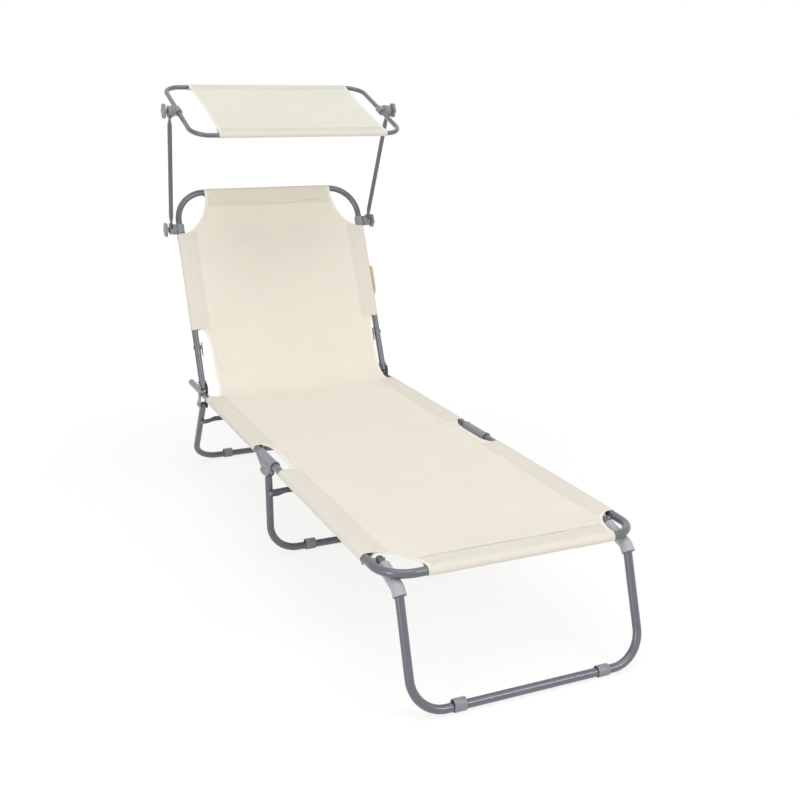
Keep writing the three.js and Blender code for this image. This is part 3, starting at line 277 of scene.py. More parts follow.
class Shell:
    """A mesh being made, in millimetres of the layout frame."""

    def __init__(self) -> None:
        """Start with nothing."""
        self.bm = bmesh.new()
        self.crisp: set[bmesh.types.BMEdge] = set()

    @staticmethod
    def ring_edges(ring: Iterable[Vert]) -> list[bmesh.types.BMEdge]:
        """Give the edges that join the vertices of one ring to each other."""
        inside = set(ring)
        return [e for e in {e for v in inside for e in v.link_edges} if all(v in inside for v in e.verts)]

    def sweep(
        self,
        path: Sequence[Vector],
        radius: float,
        sides: int = TUBE_SIDES,
        cap: bool = True,
        up: Vector | None = None,
        radii: Sequence[float] | None = None,
    ) -> list[Vert]:
        """Run a round section along a path.

        Args:
            path: Points of the path.
            radius: The section's radius.
            sides: Sides of the section.
            cap: Whether the two ends are closed.
            up: The way the section's first side faces.
            radii: A radius for each point, in place of the one.

        Returns:
            The vertices of the tube.
        """
        steps = [(b - a).normalized() for a, b in zip(path, path[1:])]
        ways = [steps[0], *[(a + b).normalized() for a, b in zip(steps, steps[1:])], steps[-1]]
        lift = (up or ways[0].orthogonal()).normalized()
        sizes = radii or [radius] * len(path)
        lift = (lift - ways[0] * lift.dot(ways[0])).normalized()
        last = axes_at(path[0], ways[0], lift)
        ring = bmesh.ops.create_circle(self.bm, segments=sides, radius=sizes[0], matrix=last)["verts"]
        edges = self.ring_edges(ring)
        ends = list(edges)
        made = list(ring)
        for point, way, size, before in zip(path[1:], ways[1:], sizes[1:], sizes):
            lift = (lift - way * lift.dot(way)).normalized()
            now = axes_at(point, way, lift)
            out = bmesh.ops.extrude_edge_only(self.bm, edges=edges)["geom"]
            ring = [g for g in out if isinstance(g, Vert)]
            edges = self.ring_edges(ring)
            move = now @ Matrix.Scale(size / before, 4) @ last.inverted()
            bmesh.ops.transform(self.bm, matrix=move, verts=ring)
            last = now
            made += ring
        if cap:
            bmesh.ops.holes_fill(self.bm, edges=ends + edges, sides=0)
        return made

    def spin(
        self, profile: Sequence[Pair], centre: Vector, axis: Vector, steps: int = 32
    ) -> list[Vert]:
        """Turn a profile about an axis.

        Args:
            profile: Pairs of distance from the axis and place along it.
            centre: Where on the axis the place along it is zero.
            axis: The way of the axis.
            steps: Steps in the full turn.

        Returns:
            The vertices of the turned shape.
        """
        side = axis.orthogonal().normalized()
        before = set(self.bm.verts)
        line = [self.bm.verts.new(centre + side * r + axis * d) for r, d in profile]
        edges = [self.bm.edges.new(pair) for pair in zip(line, line[1:])]
        bmesh.ops.spin(
            self.bm,
            geom=line + edges,
            cent=centre,
            axis=axis,
            angle=2 * math.pi,
            steps=steps,
            use_merge=True,
        )
        made = [v for v in self.bm.verts if v not in before]
        bmesh.ops.remove_doubles(self.bm, verts=made, dist=1e-3)
        return [v for v in self.bm.verts if v not in before]

    def slab(
        self,
        outline: Sequence[Pair],
        frame: Matrix,
        thickness: float,
        hole: Sequence[Pair] = (),
        bevel: float = 0.0,
    ) -> list[Vert]:
        """Cut a plate to an outline and give it its thickness.

        Args:
            outline: The outline in the plate's own plane.
            frame: Where that plane lies; the plate grows along its Z.
            thickness: The plate's thickness.
            hole: An outline inside the first, left open.
            bevel: Size of the rounding of its edges.

        Returns:
            The vertices of the plate.
        """
        before = set(self.bm.verts)
        rings = []
        for points in filter(len, (outline, hole)):
            ring = [self.bm.verts.new(frame @ Vector((a, b, 0))) for a, b in points]
            rings += [self.bm.edges.new(pair) for pair in zip(ring, ring[1:] + ring[:1])]
        if hole:
            faces = bmesh.ops.triangle_fill(self.bm, edges=rings, use_beauty=True)["geom"]
            faces = [f for f in faces if isinstance(f, bmesh.types.BMFace)]
        else:
            faces = bmesh.ops.contextual_create(self.bm, geom=rings)["faces"]
        out = bmesh.ops.extrude_face_region(self.bm, geom=faces, use_keep_orig=True)["geom"]
        moved = [g for g in out if isinstance(g, Vert)]
        grow = (frame.to_3x3() @ Z_AXIS).normalized() * thickness
        bmesh.ops.translate(self.bm, vec=grow, verts=moved)
        made = [v for v in self.bm.verts if v not in before]
        if bevel:
            self.soften(made, bevel)
        return [v for v in self.bm.verts if v not in before]

    def soften(self, verts: Iterable[Vert], size: float, segments: int = 2) -> None:
        """Round the sharp edges between some vertices.

        Args:
            verts: The vertices.
            size: How far the rounding reaches.
            segments: Steps in the rounding.
        """
        inside = set(verts)
        faces = list({f for v in inside for f in v.link_faces})
        bmesh.ops.recalc_face_normals(self.bm, faces=faces)
        edges = {e for v in inside for e in v.link_edges if len(e.link_faces) == 2}
        bmesh.ops.bevel(
            self.bm,
            geom=[e for e in edges if e.calc_face_angle(0) > SHARP],
            offset=size,
            segments=segments,
            profile=0.5,
            affect="EDGES",
            clamp_overlap=True,
            material=-1,
        )

    def dome(self, centre: Vector, way: Vector, radius: float, height: float, steps: int = 20) -> None:
        """Put a rivet's low domed head on a face.

        Args:
            centre: The middle of the head's foot.
            way: The way out of the face.
            radius: The head's radius.
            height: The head's height.
            steps: Steps in its full turn.
        """
        rim = 0.3
        profile = [(0.0, -rim), (radius, -rim), (radius, rim * height)]
        for k in range(1, 6):
            angle = math.pi / 2 * k / 5
            profile.append((radius * math.cos(angle), rim * height + (1 - rim) * height * math.sin(angle)))
        self.spin(profile, centre, way, steps)

    def lay(self, rows: Sequence[Sequence[Knot]]) -> dict[Vert, tuple[int, int]]:
        """Lay a grid of cloth over rows of points.

        Args:
            rows: The rows, each with its points.

        Returns:
            The column and the row of each vertex.
        """
        across = len(rows[0])
        bmesh.ops.create_grid(self.bm, x_segments=across - 1, y_segments=len(rows) - 1, size=1)
        weave = self.bm.loops.layers.uv.new(WEAVE_MAP)
        # Each vertex carries its tone of painted light and shade, which the cloth material reads.
        double = self.bm.verts.layers.float.new(PAINTED_LIGHT_MAP)
        number = {}
        places = {}
        ordered = sorted(self.bm.verts, key=lambda v: (round(v.co.y, 5), round(v.co.x, 5)))
        for k, vert in enumerate(ordered):
            j, i = divmod(k, across)
            number[vert] = (i, j)
            vert.co, places[vert], vert[double] = rows[j][i]
        for face in self.bm.faces:
            for loop in face.loops:
                loop[weave].uv = places[loop.vert]
        return number

    def face_toward(self, spot: Vector, way: Vector) -> None:
        """Turn all faces over if the one nearest a place faces away from a way."""
        near = min(self.bm.faces, key=lambda f: (f.calc_center_median() - spot).length)
        near.normal_update()
        if near.normal.dot(way) < 0:
            bmesh.ops.reverse_faces(self.bm, faces=self.bm.faces[:])

    def close(self) -> None:
        """Turn every face outward."""
        bmesh.ops.recalc_face_normals(self.bm, faces=self.bm.faces[:])


@dataclass(frozen=True)
class Dress:
    """A finish, with the record's slot that it goes with."""

    material: Material
    slot: Slot


@dataclass
class Bend:
    """Two bodies that a piece lies across and the stretch from one to the other; make_piece only fixes such a
    piece where it lies.
    """

    body: str
    other: str
    start: Vector
    end: Vector


def make_piece(
    shell: Shell,
    name: str,
    dress: Dress,
    ride: Bend | str,
    nodes: Iterable[str] = (),
    sharp: float = SHARP,
) -> bpy.types.Object:
    """Turn a finished shell into a piece of the lounger.

    Args:
        shell: The mesh in layout millimetres.
        name: The piece's name.
        dress: Its finish; the slot that comes with it is not used.
        ride: The body it rides on, or a Bend, with which the piece is only fixed where it lies and rides on no
            body.
        nodes: CAD nodes it stands for.
        sharp: The angle past which an edge shades as a corner.

    Returns:
        The piece.
    """
    bm = shell.bm
    bmesh.ops.transform(bm, matrix=TO_ROW, verts=bm.verts[:])
    for edge in bm.edges:
        edge.smooth = edge not in shell.crisp and edge.calc_face_angle(0) < sharp
    for face in bm.faces:
        face.smooth = True
    mesh = bpy.data.meshes.new(name)
    bm.to_mesh(mesh)
    bm.free()
    mesh.materials.append(dress.material)
    piece = bpy.data.objects.new(name, mesh)
    bpy.context.scene.collection.objects.link(piece)
    if isinstance(ride, str):
        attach(piece, ride)
    else:
        ride.body
        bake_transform(piece)
    if nodes:
        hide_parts(*nodes)
    log.info("%s: %d faces", name, len(mesh.polygons))
    return piece


def dress_node(shell: Shell, node: str, word: str, dress: Dress, body: str) -> bpy.types.Object:
    """Make the piece that stands for one CAD node, named after it with a word of its own."""
    shell.close()
    return make_piece(shell, f"{node}_{word}", dress, body, [node])


def wall(piece: bpy.types.Object, thickness: float, offset: float = 0.0) -> None:
    """Give an open sheet its thickness, in millimetres, with a closed rim."""
    solid = piece.modifiers.new("wall", "SOLIDIFY")
    solid.thickness = thickness * METRES
    solid.offset = offset
    solid.use_even_offset = False
    solid.use_rim = True


# Finishes


class Nodes:
    """A node tree with short words for adding and joining nodes."""

    def __init__(self, tree: bpy.types.NodeTree) -> None:
        """Start with the tree empty."""
        self.tree = tree
        tree.nodes.clear()

    def add(self, kind: str, result: str | int = 0, **inputs: object) -> Socket:
        """Add a node.

        Args:
            kind: The node's type, without its ShaderNode prefix.
            result: The output that is wanted.
            **inputs: Sockets by name with _ for a space, or by number after "in", or properties.

        Returns:
            The output socket.
        """
        node = self.tree.nodes.new(f"ShaderNode{kind}")
        sockets = {s.name.replace(" ", "_") for s in node.inputs}
        for key, value in inputs.items():
            if key not in sockets and not key[2:].isdigit():
                setattr(node, key, value)
        enabled = {s.name.replace(" ", "_"): s for s in reversed(node.inputs[:]) if s.enabled}
        for key, value in inputs.items():
            socket = node.inputs[int(key[2:])] if key[2:].isdigit() else enabled.get(key)
            if isinstance(value, Socket):
                self.tree.links.new(value, socket)
            elif socket is not None:
                socket.default_value = value
        return node.outputs[result]

    def end(self, kind: str, value: Socket) -> None:
        """Send a value to a new output node."""
        self.tree.links.new(value, self.tree.nodes.new(f"ShaderNode{kind}").inputs[0])

    def math(self, operation: str, a: object, b: object = 0.0) -> Socket:
        """Add a Math node with one or two inputs."""
        return self.add("Math", operation=operation, in0=a, in1=b)


class Graph(Nodes):
    """A material's node tree, with a Principled shader."""

    def __init__(self, name: str) -> None:
        """Start a material of a name."""
        self.material = bpy.data.materials.new(name)
        self.material.use_nodes = True
        super().__init__(self.material.node_tree)
        self.shader = self.tree.nodes.new("ShaderNodeBsdfPrincipled")
        self.end("OutputMaterial", self.shader.outputs[0])

    def spread(self, value: Socket, low: float, high: float) -> Socket:
        """Map the middle of a noise's range to low and high."""
        return self.add("MapRange", Value=value, From_Min=0.3, From_Max=0.7, To_Min=low, To_Max=high)

    def shaded(self, colour: Triple, value: Socket) -> None:
        """Send the base colour, made lighter and darker by a value about 1, to the shader."""
        self.link(self.add("HueSaturation", Color=(*colour, 1), Value=value), "Base Color")

    def link(self, source: Socket, target: str) -> None:
        """Join a socket to one of the shader's."""
        self.tree.links.new(source, self.shader.inputs[target])

    def level(self, **sockets: float) -> None:
        """Set the shader's own sockets, with _ for a space."""
        for key, value in sockets.items():
            self.shader.inputs[key.replace("_", " ")].default_value = value


@dataclass(frozen=True)
class Coat:
    """A hard finish: paint, plating or moulded plastic."""

    name: str
    colour: Triple
    metallic: float
    roughness: Pair
    grain: float
    grain_depth: float
    cloud: float = 14.0
    variation: float = 0.05
    specular: float = 0.5
    clear: float = 0.0
    scuff: float = 0.0

    def make(self) -> Material:
        """Build the material.

        Returns:
            The material.
        """
        g = Graph(self.name)
        place = g.add("TexCoord", "Object")
        cloud = g.add("TexNoise", Vector=place, Scale=self.cloud, Detail=5.0, Roughness=0.6)
        grain = g.add("TexNoise", Vector=place, Scale=self.grain, Detail=2.0, Roughness=0.55)
        fleck = g.add("TexNoise", Vector=place, Scale=self.grain / 3, Detail=3.0, Roughness=0.7)
        value = g.spread(cloud, 1 - self.variation, 1 + self.variation)
        speck = g.spread(fleck, 1 - self.variation / 2, 1 + self.variation / 2)
        shade = g.math("MULTIPLY", value, speck)
        if self.scuff:
            long = g.add("Mapping", Vector=place, Scale=(1.0, 0.22, 1.0))
            marks = g.add("TexNoise", Vector=long, Scale=95.0, Detail=8.0, Roughness=0.72)
            worn = g.add("MapRange", Value=marks, From_Min=0.64, From_Max=0.7, To_Min=0.0, To_Max=self.scuff)
            shade = g.math("ADD", shade, worn)
        g.shaded(self.colour, shade)
        g.link(g.spread(cloud, *self.roughness), "Roughness")
        bump = g.add("Bump", Strength=0.55, Distance=self.grain_depth * METRES, Height=grain)
        g.link(bump, "Normal")
        g.level(Metallic=self.metallic, Specular_IOR_Level=self.specular, Coat_Weight=self.clear)
        g.level(Coat_Roughness=0.22)
        return g.material


@dataclass(frozen=True)
class Canvas:
    """A plain-woven cloth, with its threads laid by the piece's own map in metres."""

    name: str
    colour: Triple
    pitch: float = 0.00105
    depth: float = 0.16
    slub: float = 0.045
    # Painted shade: how much darker the cloth is painted where it lies in two layers, as less light comes
    # through them.
    two_layer_shade: float = 0.07

    def make(self) -> Material:
        """Build the material.

        Returns:
            The material.
        """
        g = Graph(self.name)
        place = g.add("UVMap", uv_map=WEAVE_MAP)
        across = g.add("SeparateXYZ", "X", Vector=place)
        along = g.add("SeparateXYZ", "Y", Vector=place)
        turn = math.pi / self.pitch
        warp = g.math("ABSOLUTE", g.math("SINE", g.math("MULTIPLY", across, turn)))
        weft = g.math("ABSOLUTE", g.math("SINE", g.math("MULTIPLY", along, turn)))
        over = g.add("TexChecker", "Fac", Vector=place, Scale=1 / self.pitch)
        high = g.math("MULTIPLY", warp, g.math("ADD", g.math("MULTIPLY", over, 0.6), 0.4))
        low = g.math("MULTIPLY", weft, g.math("SUBTRACT", 1.0, g.math("MULTIPLY", over, 0.6)))
        cloth = g.math("MAXIMUM", high, low)
        warps = g.add("Mapping", Vector=place, Scale=(1 / self.pitch, 14.0, 1.0))
        wefts = g.add("Mapping", Vector=place, Scale=(14.0, 1 / self.pitch, 1.0))
        thick = g.add("TexNoise", Vector=warps, Scale=1.0, Detail=2.0)
        thin = g.add("TexNoise", Vector=wefts, Scale=1.0, Detail=2.0)
        threads = g.math("MULTIPLY", g.math("ADD", thick, thin), 0.5)
        soft = g.add("TexNoise", Vector=place, Scale=5.0, Detail=4.0, Roughness=0.55)
        tone = g.spread(threads, 1 - self.slub, 1 + self.slub * 0.6)
        cast = g.spread(soft, 0.985, 1.012)
        # Painted shade: the colour darkens in the hollows of the weave, where the threads dip under each
        # other.
        dip = g.add("MapRange", Value=cloth, From_Min=0.0, From_Max=1.0, To_Min=0.93, To_Max=1.02)
        # Painted light and shade from the piece's attribute: darker where the cloth lies in two layers and in
        # the seam grooves, lighter along the hems.
        double = g.add("Attribute", "Fac", attribute_name=PAINTED_LIGHT_MAP)
        layers = g.math("SUBTRACT", 1.0, g.math("MULTIPLY", double, self.two_layer_shade))
        shade = g.math("MULTIPLY", g.math("MULTIPLY", tone, cast), g.math("MULTIPLY", dip, layers))
        g.shaded(self.colour, shade)
        g.link(g.spread(threads, 0.86, 0.95), "Roughness")
        height = g.math("ADD", cloth, g.math("MULTIPLY", threads, 0.7))
        g.link(g.add("Bump", Strength=0.6, Distance=self.depth * METRES, Height=height), "Normal")
        g.level(Specular_IOR_Level=0.2, Sheen_Weight=0.12, Sheen_Roughness=0.5)
        return g.material


@dataclass(frozen=True)
class Thread:
    """The twisted sewing thread."""

    colour: Triple = (0.71, 0.655, 0.55)

    def make(self) -> Material:
        """Build the material.

        Returns:
            The material.
        """
        g = Graph("sewing_thread")
        place = g.add("TexCoord", "Object")
        twist = g.add("TexWave", "Fac", Vector=place, Scale=900.0, Distortion=2.0, bands_direction="DIAGONAL")
        # Painted shade: the colour follows the twist, darker in the grooves between the plies.
        g.shaded(self.colour, g.add("MapRange", Value=twist, To_Min=0.88, To_Max=1.05))
        g.link(g.add("Bump", Strength=0.5, Distance=0.00005, Height=twist), "Normal")
        g.level(Roughness=0.6, Sheen_Weight=0.1)
        return g.material


class Finishes:
    """Every finish of the lounger, made once."""

    def __init__(self) -> None:
        """Make them."""
        coats = {
            "coated": ("grey_powder_coat", (0.135, 0.138, 0.162), 0.3, (0.25, 0.33), 950.0, 0.03),
            "dark": ("dark_grey_coat", (0.112, 0.114, 0.132), 0.3, (0.34, 0.44), 900.0, 0.03),
            "zinc": ("zinc_plate", (0.29, 0.295, 0.31), 0.4, (0.34, 0.5), 1500.0, 0.02),
            "plastic": ("moulded_plastic", (0.42, 0.43, 0.45), 0.0, (0.38, 0.5), 1700.0, 0.022),
            "mid": ("mid_grey_plastic", (0.25, 0.26, 0.285), 0.0, (0.36, 0.46), 1700.0, 0.022),
        }
        self.coated = Dress(Coat(*coats["coated"], scuff=0.05, clear=0.4).make(), Slot.COATED)
        self.dark = Dress(Coat(*coats["dark"], scuff=0.08).make(), Slot.DARK)
        self.zinc = Dress(Coat(*coats["zinc"], cloud=60.0, variation=0.09).make(), Slot.ZINC)
        self.plastic = Dress(Coat(*coats["plastic"], variation=0.03, specular=0.45).make(), Slot.PLASTIC)
        self.mid = Dress(Coat(*coats["mid"], variation=0.03).make(), Slot.PLASTIC)
        self.sling = Dress(Canvas("cream_canvas", (0.86, 0.812, 0.71)).make(), Slot.SLING)
        self.canopy = Dress(Canvas("canopy_canvas", (0.812, 0.787, 0.692), pitch=0.00095).make(), Slot.CANOPY)
        self.pocket = Dress(Canvas("sand_canvas", (0.76, 0.62, 0.41)).make(), Slot.POCKET)
        thread = Thread().make()
        self.sling_thread = Dress(thread, Slot.SLING)
        self.canopy_thread = Dress(thread, Slot.CANOPY)


# Shapes that several sub-assemblies share


@dataclass(frozen=True)
class Press:
    """The pressed end of a tube: thin one way and wide the other, with a rounded tip."""

    radius: float
    thickness: float
    width: float
    length: float
    taper: float

    def rings(self) -> list[float]:
        """Give the distances from the end at which the tube's section changes."""
        tip = [self.width / 2 * share for share in (0.08, 0.2, 0.4, 0.7, 1.0)]
        slope = [self.length + self.taper * k / 8 for k in range(9)]
        return [*tip, (self.length + self.width / 2) / 2, *slope]

    def flatten(
        self, verts: Iterable[Vert], end: Vector, inward: Vector, thin: Vector, shift: float = 0.0
    ) -> None:
        """Press one end of a tube.

        Args:
            verts: The tube's vertices.
            end: The middle of the tube's end.
            inward: The way from that end into the tube.
            thin: The way the pressed end is thin.
            shift: How far the pressed end lies off the tube's middle, along the thin way.
        """
        wide = inward.cross(thin).normalized()
        least, squareness = 0.1, 2.2
        half, reach = self.width / 2, self.length + self.taper
        for vert in verts:
            point = vert.co - end
            along = point.dot(inward)
            if along > reach or point.length > reach + 2 * self.radius:
                continue
            share = 1.0 if along < self.length else ease((reach - along) / self.taper)
            tip = math.sqrt(max(least, 1 - (max(0.0, half - along) / half) ** 2))
            flat, broad = point.dot(thin), point.dot(wide)
            squarer = math.copysign(min(abs(flat) * squareness / self.radius, 1.0), flat)
            point += thin * (squarer * self.thickness / 2 + shift - flat) * share
            point += wide * (broad * (half / self.radius) * tip - broad) * share
            vert.co = end + point


def round_tips(verts: Iterable[Vert], end: Vector, inward: Vector, radius: float) -> None:
    """Round the end of a tube to half a ball.

    Args:
        verts: The tube's vertices.
        end: The middle of the tube's end.
        inward: The way into the tube.
        radius: The tube's radius.
    """
    for vert in verts:
        point = vert.co - end
        along = point.dot(inward)
        if along > radius or point.length > 2 * radius:
            continue
        reach = 1 - along / radius
        scaled = point * math.sqrt(max(0.02, 1 - reach * reach))
        vert.co = end + scaled + inward * (along - scaled.dot(inward))


def ball_ended_tube(shell: Shell, corners: Sequence[Vector], radii: Sequence[float]) -> None:
    """Bend a tube along corners, with ends rounded about the first and last of them.

    Args:
        shell: The mesh it goes in.
        corners: Middles of the tube's ends and its corners.
        radii: The radius of each bend.
    """
    size = LAY.tube
    outs = [(corners[0] - corners[1]).normalized(), (corners[-1] - corners[-2]).normalized()]
    longer = [corners[0] + outs[0] * size, *corners[1:-1], corners[-1] + outs[1] * size]
    rings = [size * share for share in (0.06, 0.18, 0.35, 0.6, 0.8, 1.0)]
    made = shell.sweep(with_ends(rounded(longer, radii), rings), size)
    for end, out in zip((longer[0], longer[-1]), outs):
        round_tips(made, end, -out, size)


def side_frame(x: float, origin: Vector) -> Matrix:
    """Give the frame of a plate in the YZ plane: its X along Y, its Y up and its Z along X."""
    matrix = Matrix(((0, 0, 1), (1, 0, 0), (0, 1, 0))).to_4x4()
    matrix.translation = Vector((x, origin.y, origin.z))
    return matrix


def mirrored(*points: Vector) -> list[Vector]:
    """Give the corners of a U from those of its right arm, the left arm's end first."""
    return [*(Vector((-p.x, p.y, p.z)) for p in points), *reversed(points)]


def middle_place(y: float, z: float) -> Vector:
    """Give a dataclass field whose value is a place in the lounger's middle plane."""
    return field(default_factory=lambda: Vector((0, y, z)))


def pin_through(shell: Shell, centre: Vector, one: float, two: float, radius: float = 3.0) -> None:
    """Put a pin with two domed heads through a stack of parts along X.

    Args:
        shell: The mesh it goes in.
        centre: A point on the pin's axis.
        one: One outer face of the stack.
        two: The other.
        radius: The shank's radius.
    """
    head, height = 1.65 * radius, 2.4
    shank = [Vector((x, centre.y, centre.z)) for x in sorted((one, two))]
    shell.sweep(shank, radius, 16)
    shell.dome(shank[0], -X_AXIS, head, height)
    shell.dome(shank[1], X_AXIS, head, height)


def arc_points(
    radius: float, start: float, stop: float, steps: int = 12, centre: Pair = (0.0, 0.0)
) -> list[Pair]:
    """Give points on an arc, with its angles in half turns."""
    angles = [math.pi * blend_number(start, stop, k / steps) for k in range(steps + 1)]
    return [(centre[0] + radius * math.cos(a), centre[1] + radius * math.sin(a)) for a in angles]


# Sub-assemblies


@dataclass
class SeatFrame:
    """The seat rails with their caps, saddles, bracket plates and pins."""

    finishes: Finishes
    front: float = 1.6
    tail: float = 135.0
    cap: float = 6.0
    cap_foot: float = 1.6
    cap_core: float = 0.35
    saddle_front: float = 62.0
    saddle_rear: float = 46.0
    channel: float = 9.8
    cheek: float = 2.4
    cheek_edge: float = 10.0
    arch: float = 1.7
    skirt: float = 3.0
    hinge: Pair = (-8.0, -20.0)
    leg: Pair = (10.0, -30.0)
    leg_press: float = 5.5
    plate: float = 2.0
    plate_top: float = 13.0
    plate_edge: float = 11.0
    teeth: int = 7
    tooth: float = 1.4
    leg_behind: float = 6.0
    leg_drop: float = 34.0
    stop_down: float = 13.0

    def build(self) -> None:
        """Build both sides."""
        for side in Side:
            x = side.value * LAY.rail_half
            self.rail(side, x)
            self.saddle(side, x)
            self.brackets(side, x)
            self.pins(side, x)

    def rail(self, side: Side, x: float) -> None:
        """Build a rail and the cap on its tail."""
        rear = LAY.back_y + self.tail
        ends = [Vector((x, y, LAY.rail_z)) for y in (LAY.middle_y + self.front, rear)]
        shell = Shell()
        shell.soften(shell.sweep(ends, LAY.tube), 0.6)
        dress_node(shell, f"{side.word}_seat_rail", "tube", self.finishes.coated, "seat")
        core, rise = self.cap_core, self.cap - self.cap_foot
        turns = [math.pi / 2 * k / 8 for k in range(9)]
        wide = [LAY.tube * (core + (1 - core) * math.cos(a)) for a in turns]
        dome = [(r, self.cap_foot + rise * math.sin(a)) for r, a in zip(wide, turns)]
        shell = Shell()
        shell.spin([(0, 0), (LAY.tube, 0), *dome, (0, self.cap)], Vector((x, rear + 0.4, LAY.rail_z)), Y_AXIS)
        dress_node(shell, f"{side.word}_rail_cap", "plug", self.finishes.plastic, "seat")

    def saddle(self, side: Side, x: float) -> None:
        """Build the moulded channel over the joint, with its end bands, cheeks, rib and rivet heads."""
        shell = Shell()
        way, skirt = side.value, -self.skirt
        outer, reach = self.channel + self.arch, self.channel + self.cheek
        long = self.saddle_front + self.saddle_rear
        room = self.channel + 1
        stretches = (
            (0.0, long, outer, self.channel, 0.5),
            (0.0, 5.0, outer + 0.7, room, 0.7),
            (long - 9.0, 9.0, outer + 1.6, room, 0.7),
        )
        for start, length, skin, inside, bevel in stretches:
            section = [(-skin, skirt), *arc_points(skin, 1, 0, 20), (skin, skirt)]
            section += [(inside, skirt), *arc_points(inside, 0, 1, 20), (-inside, skirt)]
            frame = Matrix(((1, 0, 0), (0, 0, -1), (0, 1, 0))).to_4x4()
            frame.translation = Vector((x, LAY.middle_y + self.saddle_rear - start, LAY.rail_z))
            shell.slab(section, frame, length, bevel=bevel)
        middle = Vector((0, LAY.middle_y, LAY.rail_z))
        inner_cheek, outer_cheek = self.cheek_outlines()
        for start in (self.channel, -reach):
            outline = outer_cheek if start * way > 0 else inner_cheek
            shell.slab(outline, side_frame(x + start, middle), self.cheek, bevel=0.7)
        front, rear = 1 - self.saddle_front, self.saddle_rear - 1
        rib = [(front, -2.6), (rear, -2.6), (rear, -0.8), (front, -0.8)]
        face = reach - 0.4
        start = min(way * face, way * (face + 1.5))
        shell.slab(rib, side_frame(x + start, middle), 1.5, bevel=0.3)
        for dy, dz in ((30.0, -7.0), (17.0, -13.0), (-30.0, -26.0), (-46.0, -8.0)):
            shell.dome(middle + Vector((x + way * face, dy, dz)), way * X_AXIS, 3.6, 1.8)
        dress_node(shell, f"{side.word}_saddle", "moulding", self.finishes.mid, "seat")

    def cheek_outlines(self) -> tuple[list[Pair], list[Pair]]:
        """Give the outlines of a saddle's inner and outer cheek about the rail's middle at the joint."""
        edge = self.cheek_edge
        (hy, hz), (ly, lz) = self.hinge, self.leg
        low = hz - 3.5
        inner = [(hy - 1.6 * edge, 0), (hy - edge, hz), (hy - 6, low), (hy + 2, low), (2, hz - 2.5)]
        inner += [*arc_points(edge - 2.5, 0.9, 2.1, centre=(ly, lz)), (ly + 11.5, hz)]
        inner += [(29, -18), (self.saddle_rear, -self.skirt), (self.saddle_rear, 0)]
        front = 1 - self.saddle_front
        outer = [(front, 0), (front, -self.skirt), (front + 12, hz), (hy - 22, lz - edge / 3)]
        outer += [*arc_points(edge - 3, 1.4, 1.9, centre=(ly - 5, lz - 2)), (15, -20), *inner[-2:]]
        return inner, outer

    def leg_place(self) -> Vector:
        """Give the rear leg's pivot."""
        return Vector((0, LAY.back_y + self.leg_behind, LAY.rail_z - self.leg_drop))

    def stop_place(self) -> Vector:
        """Give the middle of the stop that the rear leg leans on."""
        pivot = self.leg_place()
        way = Vector((0, 170.0, 11.4 - pivot.z)).normalized()
        behind = Vector((0, -way.z, way.y))
        return pivot + way * self.stop_down + behind * (LAY.tube + 3.0 + LAY.running)

    def plate_outline(self) -> list[Pair]:
        """Give the outline of a bracket plate about the rail's middle at the hinge."""
        top, rise, edge = self.plate_top, LAY.back_rise, self.plate_edge
        points = [(-top, 0.0), (-top, rise)]
        for k in range(2 * self.teeth + 1):
            angle = 0.8 * math.pi * (1 - k / (2 * self.teeth))
            radius = top - self.tooth if k % 2 else top
            points.append((radius * math.cos(angle), rise + radius * math.sin(angle)))
        stop = self.stop_place()
        sy, sz = stop.y - LAY.back_y, stop.z - LAY.rail_z
        points += [(top, -top), (sy + edge / 2, sz + edge / 2), (sy + edge / 2, sz - edge / 3)]
        return points + arc_points(edge, -0.1, -0.95, centre=(self.leg_behind, -self.leg_drop))

    def brackets(self, side: Side, x: float) -> None:
        """Build the inner and outer bracket plates, the outer one with the hinge's and the stop's pins."""
        gap = LAY.tube + LAY.running
        reach = gap + self.plate
        hinge = Vector((0, LAY.back_y, LAY.rail_z))
        kinds = (("inner", -side.value, self.finishes.dark), ("outer", side.value, self.finishes.zinc))
        for word, way, dress in kinds:
            start = x + gap if way > 0 else x - gap - self.plate
            shell = Shell()
            shell.slab(self.plate_outline(), side_frame(start, hinge), self.plate, bevel=0.35)
            if word == "outer":
                for centre in (hinge, self.stop_place()):
                    pin_through(shell, centre, x - reach, x + reach)
            dress_node(shell, f"{side.word}_{word}_plate", "pressing", dress, "seat")

    def pins(self, side: Side, x: float) -> None:
        """Build the pins that the backrest and the legs turn on."""
        way = side.value
        reach = LAY.tube + LAY.running + self.plate
        cheek = self.channel + self.cheek
        middle = Vector((0, LAY.middle_y, LAY.rail_z))
        inner = way * (LAY.rail_half - cheek - LAY.running - self.leg_press)
        pins = {
            "back_pin": (LAY.back.origin, x - reach, x + reach),
            "rear_leg_pin": (self.leg_place(), x - reach, x + reach),
            "foot_pin": (middle + Vector((0, *self.hinge)), x - cheek, x + cheek),
            "middle_leg_pin": (middle + Vector((0, *self.leg)), inner, x + way * cheek),
        }
        for word, (centre, one, two) in pins.items():
            shell = Shell()
            pin_through(shell, centre, one, two)
            dress_node(shell, f"{side.word}_{word}", "rivet", self.finishes.zinc, "seat")


